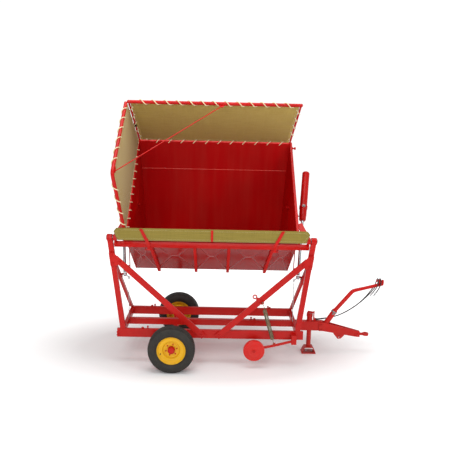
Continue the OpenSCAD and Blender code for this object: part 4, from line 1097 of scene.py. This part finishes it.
def round_lip(loop, off):
    """A closed line round the board through a loop's (x, height) points in millimetres,
    off millimetres behind the board's middle."""
    loop = np.vstack([loop, loop[:1]])
    return chassis(np.stack([loop[:, 0], np.full(len(loop), lip_y + off), loop[:, 1] + lip_z], 1))


sewn_in = np.array([(px * 0.982, 100 + (pz - 100) * 0.72) for px, pz in outline])
sewn = joined("lip_stitches", [stitches("a", round_lip(sewn_in, -13.2)),
                               stitches("b", round_lip(sewn_in, 13.2), out=(0, 1, 0))])
done(sewn, rope, "lip", 60.0)
welt_line = round_lip(outline * (0.9995, 1.0), 0.0)
welts = [swept("welt", np.linspace(welt_line[i], welt_line[i + 1], 12), 0.0052, 10, (0, 1, 0.01))
         for i in range(len(welt_line) - 1)]
done(joined("lip_welt", welts), lip_cloth, "lip", 60.0)
straps = softened("lip_straps", red, 0.003, "lip")


def strap_lean(x, z):
    """How far a long strap leans outwards at height z: in step with it above the hinge."""
    return np.sign(x) * (np.abs(x) > 0.3) * np.clip(0.6 * (z - 2.235), -0.02, 0.11)


points = np.zeros(len(straps.data.vertices) * 3)
straps.data.vertices.foreach_get("co", points)
points = points.reshape(-1, 3)
points[:, 0] += strap_lean(points[:, 0] + back, points[:, 2])
straps.data.vertices.foreach_set("co", points.ravel())
straps.data.update()


def dome(centre, way, radius=0.009):
    """A round rivet head: a flat collar under a low quarter-circle dome."""
    cap = [(radius * 0.6 * math.sin(t), radius * math.cos(t) + 1e-5)
           for t in np.linspace(0, np.pi / 2, 7)]
    return turned("rivet", [(0.0, radius)] + cap, centre, way, 20)


strap_x, strap_face = 1090, -694
rivets = [dome(spot(side * strap_x + dx + 1000 * strap_lean(side, z / 1000), strap_face, z),
               out_y)
          for side in (-1, 1) for dx in (-15, 15) for z in (2240, 2300, 2360, 2400)]
rivets += [dome(spot(0, strap_face, z), out_y) for z in (2232, 2290, 2350, 2400)]
done(joined("lip_rivets", rivets), red, "lip", 40.0)

# ---- Canvas extensions ---------------------------------------------------------------
# Pipe frames stand on the far and rear edges of the bin. A hemmed canvas panel is laced
# into each with cream rope through zinc eyelets, and a thin rod braces the two frames.

softened("far_ext_frame", red, 0.002, "bin")
pipe_r, bend_reach = 0.030, 90
rear_foot, rear_bend, rear_corner = (np.array(c, float) for c in (
    (-1478.5, 100, 2), (-1583.5, 390, 1240), (-1571.5, 2160, 1145)))
bend_in = rear_bend + unit(rear_foot - rear_bend) * bend_reach
bend_out = rear_bend + unit(rear_corner - rear_bend) * bend_reach
t = np.linspace(0, 1, 13)[:, None]
arc = (1 - t) ** 2 * bend_in + 2 * t * (1 - t) * rear_bend + t**2 * bend_out
pipe_line = np.vstack([np.linspace(rear_foot, bend_in, 8)[:-1], arc,
                       np.linspace(bend_out, rear_corner, 10)[1:]])
done(swept("rear_pipe", binned(pipe_line), pipe_r, 40, tuple(binned_way((1, 0, 0)))), red,
     "bin", 50.0, ["rear_ext_frame"])
cloth_t = 2.6


def panel(corners, u, v, laces, scallop=7.0, sag=9.0):
    """Points of a laced cloth in millimetres. The corners are joined by straight edges;
    each edge is drawn in between its eyelets as a row of half sine waves, and the cloth
    bellies towards one face and puckers in waves that die away from each edge."""
    p00, p10, p11, p01 = (np.array(c, float) for c in corners)
    wide, tall = np.linalg.norm(p10 - p00), np.linalg.norm(p01 - p00)
    low, high, left, right = laces

    def pull(at, n):
        return scallop * np.abs(np.cos(np.pi * n * at))

    u0, u1 = pull(v, left) / wide, 1 - pull(v, right) / wide
    v0, v1 = pull(u, low) / tall, 1 - pull(u, high) / tall
    uu, vv = u0 + (u1 - u0) * u, v0 + (v1 - v0) * v
    uu, vv = uu[..., None], vv[..., None]
    flat = (p00 * (1 - uu) * (1 - vv) + p10 * uu * (1 - vv) + p11 * uu * vv + p01 * (1 - uu) * vv)
    face = unit(np.cross(p10 - p00, p01 - p00))
    pucker = sum(3.2 * np.cos(2 * np.pi * n * at) * np.exp(-edge / 130.0) for n, at, edge in (
        (low, u, vv[..., 0] * tall), (high, u, (1 - vv[..., 0]) * tall),
        (left, v, uu[..., 0] * wide), (right, v, (1 - uu[..., 0]) * wide)))
    fold = 1.6 * np.sin(uu[..., 0] * wide / 260 + vv[..., 0] * 5) * np.sin(np.pi * v)
    out = -sag * np.sin(np.pi * u) * np.sin(np.pi * v) + pucker + fold
    return flat + face * out[..., None], face, wide, tall


def cloth_band(name, corners, laces, u, v, half, uv_turn=False):
    """A closed strip of cloth over the part of a panel that u and v cover, half as thick
    on each face."""
    mid, face, wide, tall = panel(corners, u, v, laces)
    uv = np.stack([u * wide, v * tall], -1) / 1000
    if uv_turn:
        uv = uv[..., ::-1] + 3.0
    return shell(name, binned(mid + face * half).reshape(mid.shape),
                 binned(mid - face * half).reshape(mid.shape), uv)


def beside(face):
    """Two directions in the plane of a cloth that faces that way."""
    side = unit(np.cross(face, (0.2, 0.9, 0.4)))
    return side, np.cross(face, side)


def eyelet_ring(centre, face, hole=0.0085, out=0.0155, proud=0.0045):
    """A pressed eyelet: a rounded section carried round the hole, on both faces."""
    b = np.linspace(0, 2 * np.pi, 10, endpoint=False)[:, None]
    a = np.linspace(0, 2 * np.pi, 24, endpoint=False)[None, :]
    side, up = beside(face)
    r = (hole + out) / 2 + (out - hole) / 2 * np.cos(b)
    ring = (centre + (r * np.cos(a))[..., None] * side + (r * np.sin(a))[..., None] * up
            + (proud * np.sin(b) + 0 * a)[..., None] * face)
    return closed_mesh("eyelet", ring, ring_faces(10, 24, True, True))


def lacing(eyelets, start, end, radius, way=1.0, rope_r=0.0085):
    """A rope wound round a straight bar from start to end and through the eyelets. In the
    cross-section each turn is a loop: two straight runs from the eyelet touch a circle
    round the bar; along the bar it moves on evenly, so that the runs lean."""
    start, end, eyelets = (np.asarray(q, float) for q in (start, end, eyelets))
    axis = unit(end - start)
    foot = start + ((eyelets - start) @ axis)[:, None] * axis
    reach = np.linalg.norm(eyelets - foot, axis=1)
    toward = (eyelets - foot) / reach[:, None]
    steps = 44
    k = np.arange((len(eyelets) - 1) * steps + 1) / steps
    i = np.minimum(k.astype(int), len(eyelets) - 2)
    f = (k - i)[:, None]
    base = foot[i] * (1 - f) + foot[i + 1] * f
    d = (reach[i] * (1 - f[:, 0]) + reach[i + 1] * f[:, 0])
    a = toward[i] * (1 - f) + toward[i + 1] * f
    n = np.cross(axis, a) * way
    c = f[:, 0]
    tip_angle = np.arccos(np.clip(radius / d, -1, 1))
    run = np.sqrt(np.maximum(d**2 - radius**2, 0))
    round_it = 2 * (np.pi - tip_angle) * radius
    total = 2 * run + round_it
    at = c * total
    first, last = at < run, at > run + round_it
    angle = tip_angle + (at - run) / radius
    edge_a, edge_n = radius * np.cos(tip_angle), radius * np.sin(tip_angle)
    go = np.where(first, at / run, (total - at) / run)
    pa = np.where(first | last, d + (edge_a - d) * go, radius * np.cos(angle))
    pn = np.where(first, edge_n * go, np.where(last, -edge_n * go, radius * np.sin(angle)))
    line = base + pa[:, None] * a + pn[:, None] * n
    return swept("lace", line, rope_r, 8, tuple(axis))


def knot(centre, face, size=0.0062):
    """A small stopper knot: the trefoil line (sin t + 2 sin 2t, cos t - 2 cos 2t, sin 3t)."""
    t = np.linspace(0, 2 * np.pi, 42)
    side, up = beside(face)
    line = (centre + size * ((np.sin(t) + 2 * np.sin(2 * t))[:, None] * side
                             + (np.cos(t) - 2 * np.cos(2 * t))[:, None] * up
                             - 1.1 * np.sin(3 * t)[:, None] * face) * 0.62)
    return wound("knot", line, 0.0062, 8)


# name, its four corners (low left, low right, high right, high left), eyelets along the
# low, high, left and right edges, the bars that each edge is laced to, and their radii
far_corners = [(-1437, 2396, 28), (1437, 2396, 28), (1510, 2226, 1098), (-1510, 2226, 1098)]
rear_corners = [(-1478.5, 142, 28), (-1472, 2392, 28), (-1552, 2194, 1100), (-1578, 424, 1206)]
far_left, far_right = (((side * 1456, 2412, 0), (side * 1530, 2215, 1125)) for side in (-1, 1))
panels = [
    ("far", far_corners, (12, 14, 5, 5),
     [((-1440, 2412, -21), (1440, 2412, -21)), (far_left[1], far_right[1]), far_left, far_right],
     [40, 39, 27, 27], [-1, 1, 1, -1]),
    ("rear", rear_corners, (12, 7, 5, 5),
     [((-1478.5, 120, -21), (-1478.5, 2370, -21)), (rear_bend, rear_corner), (rear_foot, rear_bend),
      far_left], [40, 39, 39, 27], [1, 1, -1, -1]),
]
hem_wide, sewn_at, eyelets_at = 44.0, (7.0, 37.0), 22.0


def at_edge(edge, along, inset):
    """u and v of a row along an edge of a panel (0 low, 1 high, 2 left, 3 right): along goes
    from 0 to 1, and so does inset, from that edge to the opposite one."""
    inset = 1 - inset if edge in (1, 3) else inset
    return (along, inset) if edge < 2 else (inset, along)


for label, corners, laces, bars, sizes, ways in panels:
    u = np.linspace(0, 1, 253 if label == "far" else 205)[None, :]
    v = np.linspace(0, 1, 97)[:, None]
    u, v = np.broadcast_arrays(u, v)
    cloth = cloth_band(label + "_canvas_panel", corners, laces, u, v, cloth_t / 2)
    done(cloth, canvas, "bin", 70.0, [label + "_canvas"])
    face, wide, tall = panel(corners, u[:1, :1], v[:1, :1], laces)[1:]
    facing = binned_way(face)
    hems, sewing, rings, ropes, knots = [], [], [], [], []
    strip = np.linspace(0, 1, 7)
    long = np.linspace(0, 1, 241)
    for edge in range(4):
        depth = tall if edge < 2 else wide
        near = strip * hem_wide / depth
        hu, hv = np.broadcast_arrays(*at_edge(edge, long[None, :], near[:, None]))
        hems.append(cloth_band("hem", corners, laces, hu, hv, 2.5 + 0.25 * (edge // 2), edge > 1))
        row = long[None, 3:-3]
        for inset in sewn_at:
            line = panel(corners, *at_edge(edge, row, inset / depth + 0 * row), laces)[0][0]
            for side in (-1, 1):
                path = binned(line + face * side * 3.3)
                sewing.append(stitches("s", path, 0.016, 0.0105, 0.0010, 0.0, facing * side))
        row = ((np.arange(laces[edge]) + 0.5) / laces[edge])[None, :]
        holes = binned(panel(corners, *at_edge(edge, row, eyelets_at / depth + 0 * row),
                             laces)[0][0])
        rings += [eyelet_ring(h, facing) for h in holes]
        start, end = binned(bars[edge])
        # the far panel's rope already fills the pipe that the rear panel's last edge meets
        if label == "rear" and edge == 3:
            continue
        ropes.append(lacing(holes, start, end, sizes[edge] / 1000, ways[edge]))
        knots += [knot(h + 0.008 * facing, facing) for h in (holes[0], holes[-1])]
    hem = done(joined(label + "_hem", hems), canvas, "bin", 70.0)
    sewn = done(joined(label + "_stitches", sewing), rope, "bin", 60.0)
    eyelets = done(joined(label + "_eyelets", rings), zinc, "bin", 60.0)
    laced = done(joined(label + "_laces", ropes + knots), rope, "bin", 60.0)
    grid = panel(corners, u, v, laces)[0]
    a, b = grid[1:, :-1] - grid[:-1, :-1], grid[:-1, 1:] - grid[:-1, :-1]

clip_a, clip_b = binned([(-1484, 2337, 425), (-1490, 2321, 520)])
clip_outline = [(0.0, 0.019), (0.0, 0.0225), (0.003, 0.024), (0.092, 0.024), (0.095, 0.0225),
                (0.095, 0.019)]
clip = turned("corner_clip", clip_outline, clip_a, clip_b - clip_a, 32)
done(clip, hose_rubber, "bin")
softened("stay_rod", red, 0.0015, "bin")

# ---- Lift cylinders ------------------------------------------------------------------
# A single-acting cylinder stands at each end: its chromed rod is pinned to the strut and
# its red barrel, which rises with the bin, hangs from the bin's end wall.


def paint_chrome(tree, where, shader):
    """Hard chrome with a thin oil film and fine rubbing marks along the stroke."""
    film = cloud(tree, where.outputs["Object"], 9.0, 5.0, 0.6, (1.0, 1.0, 0.25))
    tone = between(tree, spread(tree, film, 0.4, 0.7), colour(196, 198, 202), colour(158, 158, 158))
    fine = cloud(tree, where.outputs["Object"], 260.0, 3.0, 0.5, (1.0, 1.0, 0.05))
    feed(tree, shader, Base_Color=tone, Roughness=spread(tree, fine, 0.3, 0.7, 0.14, 0.26))
    raised(tree, shader, fine, 0.00004)


chrome = finish_of("hard_chrome", paint_chrome, Metallic=1.0)
barrel_outline = [
    (1.130, 0.0278), (1.130, 0.052), (1.134, 0.058), (1.146, 0.060), (1.150, 0.0655),
    (1.186, 0.0655), (1.190, 0.062), (1.194, 0.0655), (1.226, 0.0655), (1.231, 0.070),
    (1.364, 0.070), (1.368, 0.0735), (1.372, 0.0772), (1.378, 0.078), (1.432, 0.078),
    (1.438, 0.0772), (1.442, 0.0735), (1.446, 0.070), (2.136, 0.070), (2.142, 0.0718),
    (2.150, 0.0705), (2.158, 0.067), (2.168, 0.060), (2.175, 0.048), (2.1758, 0.004)]
port_outline = [(0.0, 0.012), (0.0, hexagon(0.027)), (0.014, hexagon(0.027)), (0.015, 0.011),
                (0.030, 0.0105), (0.031, 0.006)]
clamp_outline = [(0.0, 0.0272), (0.0, 0.036), (0.002, 0.038), (0.020, 0.038), (0.022, 0.036),
                 (0.022, 0.0272)]
eye_outline = [(0.0, 0.0095), (0.0, 0.017), (0.002, 0.018), (0.022, 0.018), (0.024, 0.017),
               (0.024, 0.0095)]
elbow_outline = [(0.0, 0.008), (0.0, hexagon(0.030)), (0.026, hexagon(0.030)), (0.028, 0.014),
                 (0.044, 0.0135), (0.046, 0.008)]
# places along the cylinder from the rod's lower pin, and how far off it the guide bar runs
clamp_at, eye_at, port_at, lugs_at, guide_off = 0.14, 1.198, 1.262, 1.405, 0.094
for side, end in ((-1, "rear"), (1, "front")):
    low = spot(side * 1546.7, -185, 1490)
    way = unit((side * 0.1081, 0.5837, 0.8048))
    inward = np.array([-side, 0.0, 0.0])
    inward = unit(inward - (inward @ way) * way)
    near_side = np.cross(way, inward) * side
    softened("lift_rod_" + end, chrome, 0.002, "lift_rod_" + end)
    barrel = turned("barrel_tube", barrel_outline, low, way, 64)
    done(barrel, red, "barrel_" + end, 30.0, ["barrel_" + end])
    lugs = [hex_bolt(low + lugs_at * way + 0.0772 * face, face, 0.040, 0.016)
            for face in (near_side, -near_side)]
    port = turned("port", port_outline, low + port_at * way - 0.068 * near_side, -near_side)
    done(joined("barrel_fittings_" + end, lugs + [port]), bolt_steel,
         "barrel_" + end, 30.0)
    # a slim guide bar stands on a clamp on the rod and slides through an eye on the barrel
    guide = [low + k * way + guide_off * inward for k in (0.10, 0.35, 0.80, 1.25)]
    foot = low + (clamp_at + 0.011) * way
    made = [swept("guide", guide, 0.0085, 16, (0.1, 0.9, -0.4)),
            turned("clamp", clamp_outline, low + clamp_at * way, way, 40),
            swept("web", [foot + k * inward for k in (0.033, 0.060, guide_off)], 0.0105, 16, way)]
    done(joined("guide_bar_" + end, made), red, "lift_rod_" + end, 35.0)
    eye = low + eye_at * way
    foot = eye + 0.012 * way
    made = [turned("eye", eye_outline, eye + guide_off * inward, way, 24),
            swept("web", [foot + k * inward for k in (0.058, 0.066, 0.079)], 0.008, 16, way)]
    done(joined("guide_eye_" + end, made), red, "barrel_" + end, 35.0)
    elbow = turned("elbow", elbow_outline, spot(side * 1478, -170, 1440),
                   (0.0, 0.1, -1.0))
    line = eased(chassis([(side * 1478, -168, 1402), (side * 1478, -160, 1340),
                          (side * 1482, -140, 1180), (side * 1488, -110, 980),
                          (side * 1494, -80, 800), (side * 1498, -62, 700),
                          (side * 1500, -56, 640), (side * 1500, -55, 600)]), 4)
    tube = swept("tube", line, 0.006, 12, (0.9, 0.2, 0.1))
    tie = swept("tie", chassis([(side * 1478, -168, 1430), (side * 1515, -176, 1455),
                                (side * 1536, -182, 1476)]), 0.009, 14, (0.1, 0.9, 0.1))
    done(joined("oil_pipe_" + end, [elbow, tube, tie]), zinc, "root", 35.0)

# ---- Rail lugs -----------------------------------------------------------------------
# Short upright pins on the rails, where loose fittings can be hooked on.

lug_outline = [(0.0, 0.017), (0.0, 0.024), (0.004, 0.024), (0.006, 0.012), (0.034, 0.012),
               (0.036, 0.017), (0.044, 0.018), (0.048, 0.015), (0.049, 0.004)]
lugs = [turned("lug", lug_outline, spot(x, y, z), (0, 0, 1), 28) for x, y, z in (
    (-1090, -605, 630), (-1095, 605, 630), (1095, 605, 630), (740, 0, 610))]
done(joined("rail_lugs", lugs), red, sharp=30.0)
